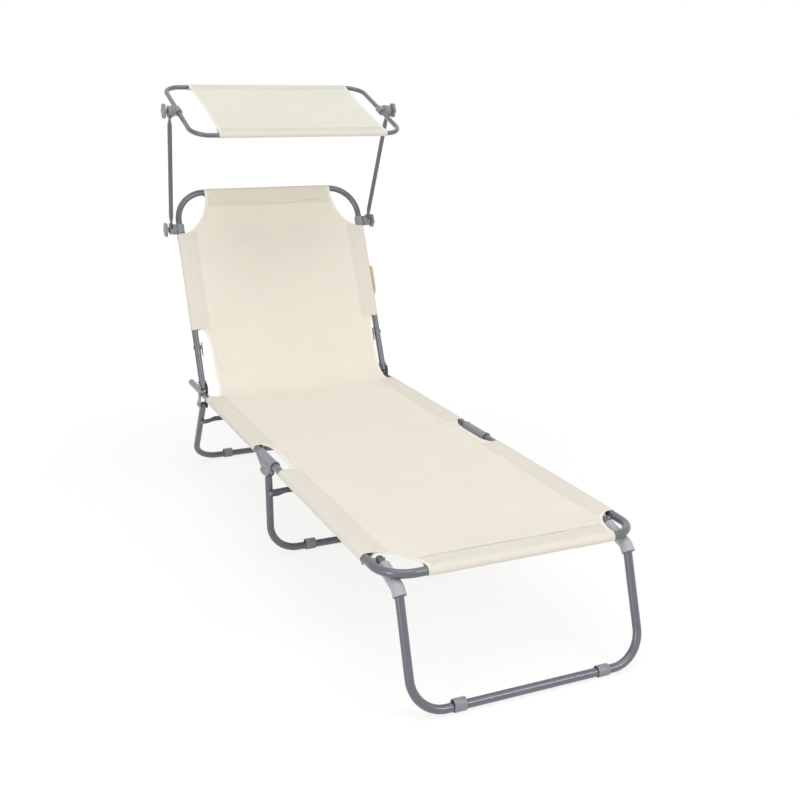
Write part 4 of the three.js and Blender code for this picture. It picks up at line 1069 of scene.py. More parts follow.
@dataclass
class FootSection:
    """The foot section's frame with its lugs, and the front leg's pins and bushes."""

    finishes: Finishes
    corner: float = 62.0
    hinge: Pair = (701.0, 243.0)
    lug: float = 8.5
    leg_pivot: Pair = (88.0, 258.0)
    leg_half: float = 254.0
    pin: float = 2.4
    bush: float = 5.9
    bush_core: float = 3.4

    def build(self) -> None:
        """Build the frame and what is on it."""
        shell = Shell()
        half, z, lug = LAY.rail_half, LAY.rail_z, self.lug
        corners = mirrored(Vector((half, self.hinge[0], z)), Vector((half, 0, z)))
        shell.sweep(rounded(corners, [self.corner] * 2), LAY.tube)
        drop = z - self.hinge[1]
        outline = [(-2.4 * lug, drop), (-lug, 0), *arc_points(lug, 1, 2), (lug, lug / 2), (0, drop)]
        for side in Side:
            frame = side_frame(side.value * half - LAY.tube / 2, Vector((0, *self.hinge)))
            shell.slab(outline, frame, LAY.tube, bevel=0.8)
        dress_node(shell, "foot_frame", "tube", self.finishes.coated, "foot")
        for side in Side:
            self.leg_joint(side)

    def leg_joint(self, side: Side) -> None:
        """Build a front leg's pin and bush."""
        way = side.value
        centre = Vector((0, *self.leg_pivot))
        inner, outer = way * (self.leg_half - LAY.tube), way * (LAY.rail_half + LAY.tube - 0.8)
        shell = Shell()
        pin_through(shell, centre, inner, outer, self.pin)
        dress_node(shell, f"{side.word}_front_leg_pin", "rivet", self.finishes.zinc, "foot")
        one = way * (self.leg_half + LAY.tube + LAY.running)
        two = way * (LAY.rail_half - LAY.tube - LAY.running)
        low, high = sorted((one, two))
        wide, core = self.bush, self.bush_core
        profile = [(core, 0), (wide, 0), (wide, high - low), (core, high - low), (core, 0)]
        shell = Shell()
        shell.spin(profile, Vector((low, centre.y, centre.z)), X_AXIS, 24)
        dress_node(shell, f"{side.word}_leg_bush", "moulding", self.finishes.mid, "foot")


@dataclass
class Leg:
    """What the three legs share: pads on the floor bar and a brace across."""

    finishes: Finishes
    prefix: str
    top: Vector
    bottom: Vector
    top_half: float
    bottom_half: float
    bend: float
    pad_half: float
    brace_height: float = 0.0
    pad: float = 11.4
    pad_length: float = 26.0
    pad_foot: float = 5.0
    brace_press: Press = Press(7.0, 4.0, 19.0, 20.0, 26.0)
    brace_offset: float = 5.0

    @property
    def body(self) -> str:
        """The body the leg moves as."""
        return f"{self.prefix}_leg"

    def pads(self) -> None:
        """Build the clip-on pads, which sit unevenly on the bar."""
        bar = self.pad
        inner = LAY.tube + 2 * LAY.running
        turn = math.acos(self.pad_foot / bar) / math.pi
        for side, rise in ((Side.LEFT, 4.6), (Side.RIGHT, 1.6)):
            outline = [*arc_points(bar, -turn, 0, 8), *arc_points(bar, 0, 1, 24, (0, rise))]
            outline += arc_points(bar, 1, 1 + turn, 8)
            room = [*arc_points(inner, 1, 2, 20), *arc_points(inner, 0, 1, 20, (0, rise))]
            start = side.value * self.pad_half - self.pad_length / 2
            frame = side_frame(start, Vector((0, self.bottom.y, bar)))
            shell = Shell()
            shell.slab(outline, frame, self.pad_length, hole=room, bevel=0.7)
            dress_node(shell, f"{self.prefix}_{side.word}_foot_pad", "clip", self.finishes.mid, self.body)

    def brace(self) -> None:
        """Build the cross tube with its pressed ends and rivets, on the leg's front face."""
        down = (self.bottom - self.top).normalized()
        share = (self.top.z - self.brace_height) / (self.top.z - self.bottom.z)
        face = Vector((0, down.z, -down.y))
        half = blend_number(self.top_half, self.bottom_half, share)
        press, offset = self.brace_press, self.brace_offset
        plate = press.thickness
        middle = self.top.lerp(self.bottom, share) + face * offset
        end = half + LAY.tube / 2
        run = [Vector((x, middle.y, middle.z)) for x in (-end, 0, end)]
        shell, heads = Shell(), Shell()
        made = shell.sweep(with_ends(run, press.rings()), press.radius)
        shift = LAY.tube + plate / 2 + LAY.running - offset
        for side in Side:
            tip = Vector((side.value * end, middle.y, middle.z))
            press.flatten(made, tip, -side.value * X_AXIS, face, shift)
            spot = Vector((side.value * half, middle.y, middle.z))
            heads.dome(spot + face * (shift + plate / 2 - 0.3), face, 5.2, 2.8)
            heads.dome(spot - face * (offset + LAY.tube - 0.6), -face, 4.6, 2.2)
        node = f"{self.prefix}_brace"
        dress_node(shell, node, "tube", self.finishes.dark, self.body)
        heads.close()
        make_piece(heads, f"{node}_rivets", self.finishes.zinc, self.body)


@dataclass
class FrontLeg(Leg):
    """The front leg: a U whose arms bend just below the front bar, with two elbow sleeves."""

    prefix: str = "front"
    top: Vector = middle_place(88, 258)
    bottom: Vector = middle_place(-74, 11.4)
    top_half: float = 254
    bottom_half: float = 254
    bend: float = 68
    pad_half: float = 160
    elbow: Vector = middle_place(0, 237)
    elbow_bend: float = 20.0
    sleeve: float = 12.6
    sleeve_up: float = 70.0
    sleeve_down: float = 11.5
    bend_share: float = 0.66
    mouth: float = 11.0
    bead: float = 0.5
    flare: float = 1.6
    sleeve_wall: float = 2.5

    def build(self) -> None:
        """Build the leg, its elbows and its pads."""
        arm = [Vector((self.top_half, p.y, p.z)) for p in (self.top, self.elbow, self.bottom)]
        corners = mirrored(*arm)
        shell = Shell()
        ball_ended_tube(shell, corners, [self.elbow_bend, self.bend, self.bend, self.elbow_bend])
        dress_node(shell, "front_leg", "tube", self.finishes.coated, self.body)
        self.sleeve_piece(Side.LEFT, corners[:3])
        self.sleeve_piece(Side.RIGHT, arm)
        self.pads()

    def sleeve_piece(self, side: Side, points: Sequence[Vector]) -> None:
        """Build an elbow sleeve, with a bead at each end and the upper end widened.

        Args:
            side: The side it is on.
            points: The top, the elbow and the bottom of the leg's arm there.
        """
        up = (points[0] - points[1]).normalized()
        down = (points[2] - points[1]).normalized()
        ends = [points[1] + up * self.sleeve_up, points[1], points[1] + down * 4 * self.sleeve_down]
        bend = rounded(ends, [self.elbow_bend], BEND_STEPS)
        kept = bend[: 2 + round(BEND_STEPS * self.bend_share)]
        last = (kept[-1] - kept[-2]).normalized()
        run = with_ends([*kept, kept[-1] + last * self.mouth], [0.6, 3.0, 4.0])
        spans = [(b - a).length for a, b in zip(run, run[1:])]
        beads = (1, 2, len(run) - 2, len(run) - 3)
        sizes = []
        for k in range(len(run)):
            share = sum(spans[:k]) / sum(spans)
            size = blend_number(self.sleeve - 1.0, self.sleeve + 0.9, ease(share))
            sizes.append(size + self.flare * (1 - ease(share / 0.4)) + self.bead * (k in beads))
        shell = Shell()
        shell.sweep(run, self.sleeve, cap=False, radii=sizes)
        sleeve = dress_node(shell, f"{side.word}_leg_elbow", "moulding", self.finishes.plastic, self.body)
        wall(sleeve, self.sleeve_wall, -1.0)


@dataclass
class MiddleLeg(Leg):
    """The middle leg: a U with pressed ends that turn inside the saddles."""

    prefix: str = "middle"
    top: Vector = middle_place(719, 233)
    bottom: Vector = middle_place(733, 11.4)
    top_half: float = 275.5
    bottom_half: float = 268.5
    bend: float = 72
    pad_half: float = 167
    brace_height: float = 173
    press: Press = Press(LAY.tube, 5.5, 20.0, 21.0, 10.0)
    press_x: float = 265.65

    def build(self) -> None:
        """Build the leg, its brace and its pads."""
        start = self.top + (self.bottom - self.top).normalized() * -self.press.width / 2
        top = Vector((self.top_half, start.y, start.z))
        corners = mirrored(top, Vector((self.bottom_half, self.bottom.y, self.bottom.z)))
        shell = Shell()
        made = shell.sweep(with_ends(rounded(corners, [self.bend] * 2), self.press.rings()), LAY.tube)
        for side, end, after in ((Side.LEFT, corners[0], corners[1]), (Side.RIGHT, corners[3], corners[2])):
            shift = side.value * (self.press_x - self.top_half)
            self.press.flatten(made, end, (after - end).normalized(), X_AXIS, shift)
        dress_node(shell, "middle_leg", "tube", self.finishes.coated, self.body)
        self.brace()
        self.pads()


@dataclass
class RearLeg(Leg):
    """The rear leg: a U that turns between the bracket plates."""

    prefix: str = "rear"
    top: Vector = middle_place(1315, 229)
    bottom: Vector = middle_place(1485, 11.4)
    top_half: float = 281
    bottom_half: float = 272
    bend: float = 72
    pad_half: float = 168
    brace_height: float = 174

    def build(self) -> None:
        """Build the leg, its brace and its pads."""
        ends = ((self.top_half, self.top), (self.bottom_half, self.bottom))
        shell = Shell()
        ball_ended_tube(shell, mirrored(*(Vector((half, p.y, p.z)) for half, p in ends)), [self.bend] * 2)
        dress_node(shell, "rear_leg", "tube", self.finishes.coated, self.body)
        self.brace()
        self.pads()


@dataclass
class Backrest:
    """The backrest's frame with its lock pins and hooks."""

    finishes: Finishes
    corner: float = 85.0
    lock_along: float = 16.4
    lock_reach: float = 3.2
    hook_along: float = 118.0
    hook_gap: float = 3.4
    hook_wall: float = 2.6

    def build(self) -> None:
        """Build the frame and the hooks."""
        shell = Shell()
        half = LAY.rail_half
        corners = mirrored(LAY.back.at(half, 0), LAY.back.at(half, LAY.back_length))
        ball_ended_tube(shell, corners, [self.corner] * 2)
        reach = LAY.tube + LAY.running + self.lock_reach
        for side in Side:
            spot = LAY.back.at(side.value * half, self.lock_along)
            shell.soften(shell.sweep([spot - X_AXIS * reach, spot + X_AXIS * reach], 2.5, 16), 0.5)
        shell.close()
        make_piece(shell, "backrest_tube", self.finishes.coated, "back", ["backrest_frame"])
        for side in Side:
            self.hook(side)

    def hook(self, side: Side) -> None:
        """Build a flat hook on the inside of a tube, with its spacer and rivet."""
        inward = -side.value * X_AXIS
        centre = LAY.back.at(side.value * LAY.rail_half, self.hook_along)
        tube, gap = LAY.tube, self.hook_gap
        face = tube + gap
        half, below, above, tip = 6.0, 26.0, 9.0, 4.0
        outline = [(-below, -half + tip), (-half, -half), (above, -half + tip), (above + tip, half + tip)]
        outline += [(half, half), (-half, half), (-below, -half + 2 * tip)]
        frame = Matrix((LAY.back.along, LAY.back.out, X_AXIS)).transposed().to_4x4()
        frame.translation = centre + inward * face
        if side is Side.RIGHT:
            frame.translation -= X_AXIS * self.hook_wall
        shell = Shell()
        shell.slab(outline, frame, self.hook_wall, bevel=0.5)
        shell.spin([(0, 0), (5.5, 0), (5.5, gap), (0, gap)], centre + inward * (tube + 0.4), inward, 24)
        shell.sweep([centre - inward * (tube + 1), centre + inward * (face + 1)], 3.0, 16)
        shell.dome(centre - inward * (tube + 0.4), -inward, 5.5, 1.6)
        shell.dome(centre + inward * (face + self.hook_wall - 0.3), inward, 3.6, 1.0)
        dress_node(shell, f"{side.word}_back_hook", "pressing", self.finishes.zinc, "back")


@dataclass(frozen=True)
class Fitting:
    """One end of a canopy arm, with the tube it is clamped to."""

    name: str
    body: str
    centre: Vector
    along: Vector
    arm_way: Vector
    tube: float
    way: int


@dataclass
class CanopyRig:
    """The canopy's clamps, hubs, knobs, arms and frame."""

    finishes: Finishes
    grip: float = 4.2
    collar: float = 27.0
    disc: float = 15.0
    disc_wall: float = 7.0
    disc_teeth: int = 26
    play: float = 0.3
    hub: float = 10.0
    hub_radius: float = 14.0
    hub_lip: float = 3.5
    hub_wall: float = 3.2
    slot: float = 5.6
    knob_radius: float = 22.0
    lobe: float = 3.4
    lobes: int = 6
    knob_wall: float = 7.0
    neck: float = 7.0
    arm: Press = Press(6.3, 3.4, 15.0, 23.5, 26.0)
    corner: float = 48.0

    def stack(self, tube: float) -> Triple:
        """Give how far out the disc's face, the hub's middle and the knob's foot are."""
        face = tube + self.grip + self.disc_wall
        return face, face + self.play + self.hub / 2, face + 2 * self.play + self.hub

    def build(self) -> None:
        """Build both sides and the frame."""
        low = LAY.back.at(0, LAY.clamp_on_back)
        high = LAY.canopy.at(0, LAY.clamp_on_canopy)
        for side in Side:
            way, word = side.value, side.word
            feet = Vector((way * (LAY.rail_half + self.stack(LAY.tube)[1]), low.y, low.z))
            heads = Vector((way * (LAY.canopy_half + self.stack(LAY.canopy_tube)[1]), high.y, high.z))
            rise = ((heads - feet) * Vector((0, 1, 1))).normalized()
            foot = Vector((way * LAY.rail_half, low.y, low.z))
            head = Vector((way * LAY.canopy_half, high.y, high.z))
            self.arm_tube(side, feet, heads)
            ends = (
                Fitting(f"{word}_lower", "back", foot, LAY.back.along, rise, LAY.tube, way),
                Fitting(f"{word}_upper", f"{word}_clamp", head, LAY.canopy.along, -rise, LAY.canopy_tube, way),
            )
            for end in ends:
                self.clamp(end)
                self.hub_piece(end, f"{word}_arm")
                self.knob(end)
        self.frame_tube()

    def arm_tube(self, side: Side, feet: Vector, heads: Vector) -> None:
        """Build an arm with its pressed ends.

        Args:
            side: The side it is on.
            feet: The middle of its lower hub.
            heads: The middle of its upper hub.
        """
        way = (heads - feet).normalized()
        half = self.arm.width / 2
        ends = [feet - way * half, heads + way * half]
        thin = (X_AXIS - way * way.x).normalized()
        run = with_ends([ends[0], ends[0].lerp(ends[1], 0.5), ends[1]], self.arm.rings())
        shell = Shell()
        made = shell.sweep(run, self.arm.radius, 24, up=thin)
        for end, inward in ((ends[0], way), (ends[1], -way)):
            self.arm.flatten(made, end, inward, thin)
        dress_node(shell, f"{side.word}_canopy_arm", "tube", self.finishes.coated, f"{side.word}_arm")

    def clamp(self, end: Fitting) -> None:
        """Build a collar round a tube, with the toothed disc on its outside."""
        shell = Shell()
        tube = end.tube
        core, skin, half, rim = tube + self.play, tube + self.grip, self.collar / 2, 1.0
        profile = [(core, -half), (skin - rim, -half), (skin, -half + rim), (skin, half - rim)]
        profile += [(skin - rim, half), (core, half), (core, -half)]
        shell.spin(profile, end.centre, end.along, 40)
        out = end.way * X_AXIS
        frame = axes_at(end.centre + out * (self.stack(tube)[0] - self.disc_wall - 1.0), out, end.along)
        outline = []
        for k in range(2 * self.disc_teeth):
            angle = math.pi * k / self.disc_teeth
            radius = self.disc if k % 2 else self.disc - 0.8
            outline.append((radius * math.cos(angle), radius * math.sin(angle)))
        shell.slab(outline, frame, self.disc_wall + 1.0, bevel=0.25)
        tail = [(0, tube), (9.5, tube), (10.5, self.grip + tube), (0, self.grip + tube)]
        shell.spin(tail, end.centre, out, 32)
        dress_node(shell, f"{end.name}_clamp", "moulding", self.finishes.mid, end.body)

    def hub_piece(self, end: Fitting, body: str) -> None:
        """Build the slotted hub that holds an arm's pressed end: two cheeks and a wall between them.

        Args:
            end: Where it goes.
            body: The body it rides on.
        """
        shell = Shell()
        radius, slot, steps = self.hub_radius, self.slot, 28
        reach, half = radius + self.hub_lip, radius * 0.8
        base = math.asin(0.8) / math.pi
        ring = arc_points(radius, base, 2 - base, steps)
        cheek = [*ring, (reach, -half), (reach, half)]
        band = [*ring, *arc_points(radius - self.hub_wall, 2 - base, base, steps)]
        thick = (self.hub - slot) / 2
        side = end.arm_way.cross(X_AXIS).normalized()
        frame = Matrix((end.arm_way, side, end.arm_way.cross(side))).transposed().to_4x4()
        out = (frame.to_3x3() @ Z_AXIS).dot(X_AXIS)
        level = end.centre.x + end.way * self.stack(end.tube)[1]
        layers = (
            (cheek, -self.hub / 2, thick, 0.7),
            (cheek, slot / 2, thick, 0.7),
            (band, -slot / 2 - 0.2, slot + 0.4, 0.0),
        )
        for outline, start, depth, bevel in layers:
            frame.translation = Vector((level + out * start, end.centre.y, end.centre.z))
            shell.slab(outline, frame, depth, bevel=bevel)
        dress_node(shell, f"{end.name}_hub", "moulding", self.finishes.mid, body)

    def knob(self, end: Fitting) -> None:
        """Build a lobed hand knob with its neck and stud."""
        shell = Shell()
        out = end.way * X_AXIS
        base, foot = end.tube + self.grip, self.stack(end.tube)[2]
        neck, sides = self.neck, 96
        outline = []
        for k in range(sides):
            angle = 2 * math.pi * k / sides
            size = self.knob_radius - self.lobe * (1 - math.cos(self.lobes * angle)) / 2
            outline.append((size * math.cos(angle), size * math.sin(angle)))
        frame = axes_at(end.centre + out * (foot + neck), out, Z_AXIS)
        shell.soften(shell.slab(outline, frame, self.knob_wall), 2.9, 4)
        top = foot + neck + self.knob_wall
        cap = [(0, -0.6), (11.5, -0.6), (11.5, 0.3), (10.6, 0.7), (6, 0.2), (0, 0)]
        shell.spin([(r, top + d - 0.7) for r, d in cap], end.centre, out, 36)
        stem = [(0, base), (3.0, base), (3.0, foot), (8.0, foot), (8.0, foot + 1.2)]
        stem += [(6.6, foot + 2.4), (6.6, foot + neck + 1.0), (0, foot + neck + 1.0)]
        shell.spin(stem, end.centre, out, 28)
        dress_node(shell, f"{end.name}_knob", "moulding", self.finishes.mid, f"{end.name}_knob")

    def frame_tube(self) -> None:
        """Build the canopy's frame, a rounded rectangle of one tube whose ends meet in the rear sleeve."""
        half, gap = LAY.canopy_half, 0.3
        arm = [LAY.canopy.at(x, along) for x, along in ((gap, 0), (half, 0), (half, LAY.canopy_length))]
        shell = Shell()
        shell.sweep(rounded(mirrored(*arm), [self.corner] * 4), LAY.canopy_tube, 28)
        dress_node(shell, "canopy_frame", "tube", self.finishes.coated, "canopy")


# Cloth


@dataclass
class Station:
    """One row across a sheet: where its middle line is and how wide the sheet is there."""

    run: float
    point: Vector
    normal: Vector
    left: float
    right: float
    sag: float = 0.0
    sleeve: bool = False
    hem: float = 0.0
    groove: float = 0.0
    crimp: float = 0.0
    under: bool = False

    def at(self, x: float, high: float) -> Spot:
        """Give the place across the row at a height over it, and the normal there."""
        point = self.point + self.normal * high
        return Vector((x, point.y, point.z)), self.normal


EDGE_STEPS = (0.0, 1.2, 8.0, 10.0, 16.0, 22.0, 23.5, 25.0, 30.0, 31.5, 33.0, 42.0, 60.0)
MIDDLE_STEPS = 64
HEM_COLUMNS = (1.2, 8.0)
HEM_GROOVE = 10.0
HEM_SEAM = 9.0
# Painted highlight: the hem band is painted lighter, as if light came through its edge.
HEM_PAINTED_HIGHLIGHT = -1.1
# Painted shade: the sunk rows of the cross seams are painted darker.
GROOVE_PAINTED_SHADE = 2.6
SEAM_COLUMNS = (23.5, 31.5)
Surface = Callable[[float, Station], Spot]


def columns_between(left: float, right: float) -> list[Pair]:
    """Give the columns across a panel.

    Args:
        left: The panel's left edge.
        right: Its right edge.

    Returns:
        For each column its place across and its distance from its edge, -1 in the middle.
    """
    inset = EDGE_STEPS[-1]
    rows = [(left + d, d) for d in EDGE_STEPS]
    for k in range(1, MIDDLE_STEPS):
        rows.append((blend_number(left + inset, right - inset, k / MIDDLE_STEPS), -1.0))
    rows += [(right - d, d) for d in reversed(EDGE_STEPS)]
    return rows


def slow_waves(x: float, run: float, seed: float, size: float = 120.0) -> float:
    """Give the slow unevenness of stretched cloth, between about -1 and 1."""
    return noise.noise(Vector((x / size, run / size, seed))) + 0.35 * noise.noise(
        Vector((x / size * 2.7, run / size * 2.7, seed + 5))
    )


def corner_folds(x: float, run: float, corners: Sequence[Pair]) -> float:
    """Give the small folds that fan out from the corners where the cloth is pulled.

    Args:
        x: Place across.
        run: Place along.
        corners: The pulled corners.

    Returns:
        The height of the folds in millimetres.
    """
    reach, fans, tall, fade, calm = 260, 9, 1.5, 62, 9
    height = 0.0
    for number, (cx, cr) in enumerate(corners):
        dx, dr = x - cx, run - cr
        far = math.hypot(dx, dr)
        if far <= reach:
            fan = math.sin(fans * math.atan2(dr, dx) + number * 1.7)
            height += tall * math.exp(-far / fade) * (1 - math.exp(-far / calm)) * fan
    return height


class Stitches:
    """Rows of short stitches laid on a surface."""

    def __init__(self, pitch: float = 4.2, length: float = 3.1, radius: float = 0.34) -> None:
        """Start with none.

        Args:
            pitch: Distance from stitch to stitch.
            length: Length of a stitch.
            radius: Half the thread's width.
        """
        self.shell = Shell()
        self.pitch, self.length, self.radius = pitch, length, radius

    def run(self, line: Sequence[Spot]) -> None:
        """Sew along a line of points on the surface, each with the surface's normal."""
        left = self.pitch / 2
        for (a, na), (b, nb) in zip(line, line[1:]):
            step = b - a
            far = step.length
            if far < 1e-6:
                continue
            while left <= far:
                share = left / far
                up = na.lerp(nb, share).normalized()
                self.stitch(a.lerp(b, share), step / far, up)
                left += self.pitch
            left -= far

    def stitch(self, point: Vector, way: Vector, up: Vector) -> None:
        """Lay one stitch."""
        size = Matrix.Diagonal((self.radius, self.radius * 0.8, self.length / 2, 1))
        level = (up - way * up.dot(way)).normalized()
        frame = axes_at(point, way, level) @ size
        bmesh.ops.create_icosphere(self.shell.bm, subdivisions=1, radius=1, matrix=frame)

    def edge(self, rows: Iterable[Station], surface: Surface, inset: float, way: int, lift: float) -> None:
        """Sew along one edge of a stretch of rows.

        Args:
            rows: The rows.
            surface: Gives the place and the normal for a place across a row.
            inset: Distance from the edge.
            way: The edge, -1 for the left one and 1 for the right one.
            lift: Height over the surface.
        """
        line = []
        for row in rows:
            point, normal = surface(row.right - inset if way > 0 else row.left + inset, row)
            line.append((point + normal * lift, normal))
        self.run(line)

    def across(self, row: Station, surface: Surface, lift: float, steps: int) -> None:
        """Sew a cross seam along a row.

        Args:
            row: The row.
            surface: Gives the place and the normal for a place across a row.
            lift: Height over the surface.
            steps: Steps from edge to edge.
        """
        left, right = row.left + HEM_SEAM, row.right - HEM_SEAM
        spots = [surface(blend_number(left, right, k / steps), row) for k in range(steps + 1)]
        self.run([(point + normal * lift, normal) for point, normal in spots])


@dataclass
class Sling:
    """The one cloth of the lounger, with a sleeve on every tube it hangs from."""

    finishes: Finishes
    thickness: float = 1.0
    sag: float = 11.0
    foot_sleeve: Pair = (96.0, 594.0)
    seat_sleeve: Pair = (788.0, 1238.0)
    back_sleeve: Pair = (167.0, 455.0)
    front_half: float = 206.5
    top_half: float = 196.0
    waist: float = 252.0
    narrow: Pair = (704.6, 705.4)
    hip: float = 250.0
    edge: float = 267.5
    turn: float = 110.0
    split: float = 1020.0
    wrap: float = 9.9
    seams: Pair = (36.0, 44.0)
    row_pitch: float = 7.0
    slope: float = 150.0
    unevenness: float = 1.5
    cut_share: float = 0.93

    def __post_init__(self) -> None:
        """Work out where the seat's level turns up into the backrest."""
        rise = LAY.panel_rise - LAY.back_rise
        angle = LAY.back_angle
        along = (rise - LAY.panel_rise * math.cos(angle)) / math.sin(angle)
        corner = LAY.back_y + along * math.cos(angle) - LAY.panel_rise * math.sin(angle)
        self.turn_start = corner - self.turn * math.tan(angle / 2)
        self.turn_end = along + self.turn * math.tan(angle / 2)
        self.arc = self.turn * angle
        self.back_run = self.turn_start + self.arc - self.turn_end
        self.top_run = self.back_run + LAY.back_length

    def course(self, run: float) -> Spot:
        """Give the sling's middle line.

        Args:
            run: Distance along the cloth from the front bar's top.

        Returns:
            The place and the normal there.
        """
        lift = self.thickness / 2
        if run <= self.turn_start:
            return Vector((0, run, LAY.rail_z + LAY.panel_rise + lift)), Z_AXIS.copy()
        if run >= self.turn_start + self.arc:
            along = run - self.back_run
            return LAY.back.at(0, along, LAY.panel_rise + lift), LAY.back.out
        angle = (run - self.turn_start) / self.turn
        normal = Vector((0, -math.sin(angle), math.cos(angle)))
        y = self.turn_start + self.turn * math.sin(angle)
        z = LAY.rail_z + LAY.panel_rise + self.turn * (1 - math.cos(angle))
        return Vector((0, y, z)) + normal * lift, normal

    def corner_list(self) -> list[Pair]:
        """Give the corners where the cloth is pulled, across and along."""
        runs = [*self.foot_sleeve, *self.seat_sleeve, *(self.back_run + a for a in self.back_sleeve)]
        corners = [(way * self.edge, run) for run in runs for way in (-1, 1)]
        corners += [(LAY.drift + way * self.front_half, 4.0) for way in (-1, 1)]
        return corners + [(way * self.top_half, self.top_run - 4) for way in (-1, 1)]

    def widths(self) -> list[tuple[float, float, float, bool, float]]:
        """Give the rows between the bars.

        Returns:
            For each row its run, the panel's left and right edges, whether it has sleeves, and its hem.
        """
        rows: list[tuple[float, float, float, bool, float]] = []
        edge, top = self.edge, self.top_run
        start, stop = self.seat_sleeve[1], self.back_run + self.back_sleeve[0]

        def curve(shape: Callable[[float], Sequence[Pair]], steps: int) -> None:
            """Add rows whose edges follow a curve."""
            for k in range(steps + 1):
                (right, run), (left, _) = (bezier(shape(way * LAY.drift), k / steps) for way in (1, -1))
                rows.append((run, -left, right, False, 1.0))

        def straight(first: float, last: float, half: float, sleeve: bool, drift: float = 0.0) -> None:
            """Add rows of one width."""
            steps = max(2, round((last - first) / self.row_pitch))
            for k in range(steps + 1):
                run = blend_number(first, last, k / steps)
                rows.append((run, drift - half, drift + half, sleeve, float(not sleeve)))

        def front(drift: float) -> list[Pair]:
            """Give the edge from the front bar to the foot's sleeves."""
            half = self.front_half + drift
            return [(half, 9.0), (blend_number(half, edge, 0.22), 72.0), (edge, self.foot_sleeve[0])]

        def hip(drift: float) -> list[Pair]:
            """Give the edge from the seat's sleeves to the hip."""
            half = self.hip + drift
            return [(edge, start), *((half, start + step) for step in (0, 36, 72))]

        def rise(drift: float) -> list[Pair]:
            """Give the edge from the hip to the backrest's sleeves."""
            half = self.hip + drift
            return [*((half, stop - step) for step in (166, 84, 0)), (edge, stop)]

        for run in (0.0, 5.0):
            rows.append((run, LAY.drift - self.front_half, LAY.drift + self.front_half, False, 1.0))
        curve(front, 14)
        straight(*self.foot_sleeve, edge, True)
        low, high, waist = self.foot_sleeve[1], self.seat_sleeve[0], self.waist
        narrow, after = self.narrow
        curve(lambda _: [(edge, low), (waist, low), (waist, (low + narrow) / 2), (waist, narrow)], 10)
        curve(lambda _: [(waist, after), (waist, 735.0), (waist + 1, 758.0), (edge, high - 9)], 12)
        straight(*self.seat_sleeve, edge, True)
        curve(hip, 12)
        straight(start + 78, stop - 172, self.hip, False, LAY.drift)
        curve(rise, 24)
        foot, half = self.back_run + self.back_sleeve[1], self.top_half
        straight(stop, foot, edge, True)
        curve(lambda _: [(edge, foot), (half, foot + 28), (half, top - 13.5), (half, top - 13.5)], 16)
        rows += [(run, -half, half, False, 1.0) for run in (top - 6, top)]
        return rows

    def stations(self) -> list[Station]:
        """Give every row of the sling, from the seam under the front bar to that behind the top bar."""
        edges = (LAY.drift - self.front_half, LAY.drift + self.front_half)
        made = self.hem_wrap(Vector((0, 0, LAY.rail_z)), Y_AXIS, Z_AXIS, edges, 0.0, -1)
        for run, left, right, sleeve, hem in self.widths():
            made.append(Station(run, *self.course(run), left, right, self.dip(run), sleeve, hem))
        top, edges = LAY.back.at(0, LAY.back_length), (-self.top_half, self.top_half)
        made = self.with_lines(made, [*self.seams, *(self.top_run - seam for seam in reversed(self.seams))])
        made += reversed(self.hem_wrap(top, -LAY.back.along, LAY.back.out, edges, self.top_run, 1))
        kept = [made[0]]
        for station in made[1:]:
            last = kept[-1]
            if (station.point - last.point).length >= 0.3:
                kept.append(station)
            elif station.sleeve != last.sleeve:
                last.sleeve, last.hem = True, 0.0
                last.left, last.right = station.left, station.right
        return kept

    def with_lines(self, rows: list[Station], lines: Sequence[float]) -> list[Station]:
        """Put the stitched grooves of the cross seams in, each with a row on both sides.

        Args:
            rows: The rows so far.
            lines: Runs of the grooves.

        Returns:
            The rows in order.
        """
        wraps, flats = ([row for row in rows if row.under is under] for under in (True, False))
        steps = ((-1.4, 0), (0, 0.5), (1.4, 0))
        for run, depth in [(line + step, depth) for line in lines for step, depth in steps]:
            before = max((row for row in flats if row.run <= run), key=lambda row: row.run)
            after = min((row for row in flats if row.run > run), key=lambda row: row.run)
            share = (run - before.run) / (after.run - before.run)
            left = blend_number(before.left, after.left, share)
            right = blend_number(before.right, after.right, share)
            flats.append(Station(run, *self.course(run), left, right, self.dip(run), False, 1.0, depth))
            flats.sort(key=lambda row: row.run)
        return [*wraps, *flats]

    def hem_wrap(
        self, bar: Vector, inward: Vector, up: Vector, edges: Pair, run: float, sign: int
    ) -> list[Station]:
        """Give the rows that wrap a bar, from the seam under the panel round to the bar's top.

        Args:
            bar: The bar's middle.
            inward: The way from the bar to the panel.
            up: The way out of the panel.
            edges: The panel's left and right edges at the bar.
            run: The run at the bar's top.
            sign: Whether runs fall (-1) or grow (1) round the bar.

        Returns:
            The rows in order from the seam.
        """
        under = self.wrap - 1.5
        spots = [(self.seams[1], under), (self.seams[0], under), (27.0, under)]
        spots += [(19.5, under - 0.8), (15.0, under - 4.6), (11.6, 0.2)]
        rows = [(inward * along + up * height, -up, 0.0) for along, height in spots]
        for angle in (math.radians(-30 - 15 * k) for k in range(17)):
            way = inward * math.cos(angle) + up * math.sin(angle)
            rows.append((way * self.wrap, way, 1.0))
        steps = [(b[0] - a[0]).length for a, b in zip(rows, rows[1:])]
        left = sum(steps)
        stations = []
        for (offset, normal, crimp), step in zip(rows, steps):
            place, point = run + sign * left, bar + offset
            stations.append(Station(place, point, normal.normalized(), *edges, crimp=crimp, under=True))
            left -= step
        return stations

    def dip(self, run: float) -> float:
        """Give how deep the middle of the sling hangs at a run."""
        front = ease(run / self.slope)
        rear = ease((self.top_run - run) / self.slope)
        lean = 1.0 - 0.3 * ease((run - self.turn_start) / self.arc) * ease((self.top_run - run) / 500)
        return self.sag * front * rear * lean

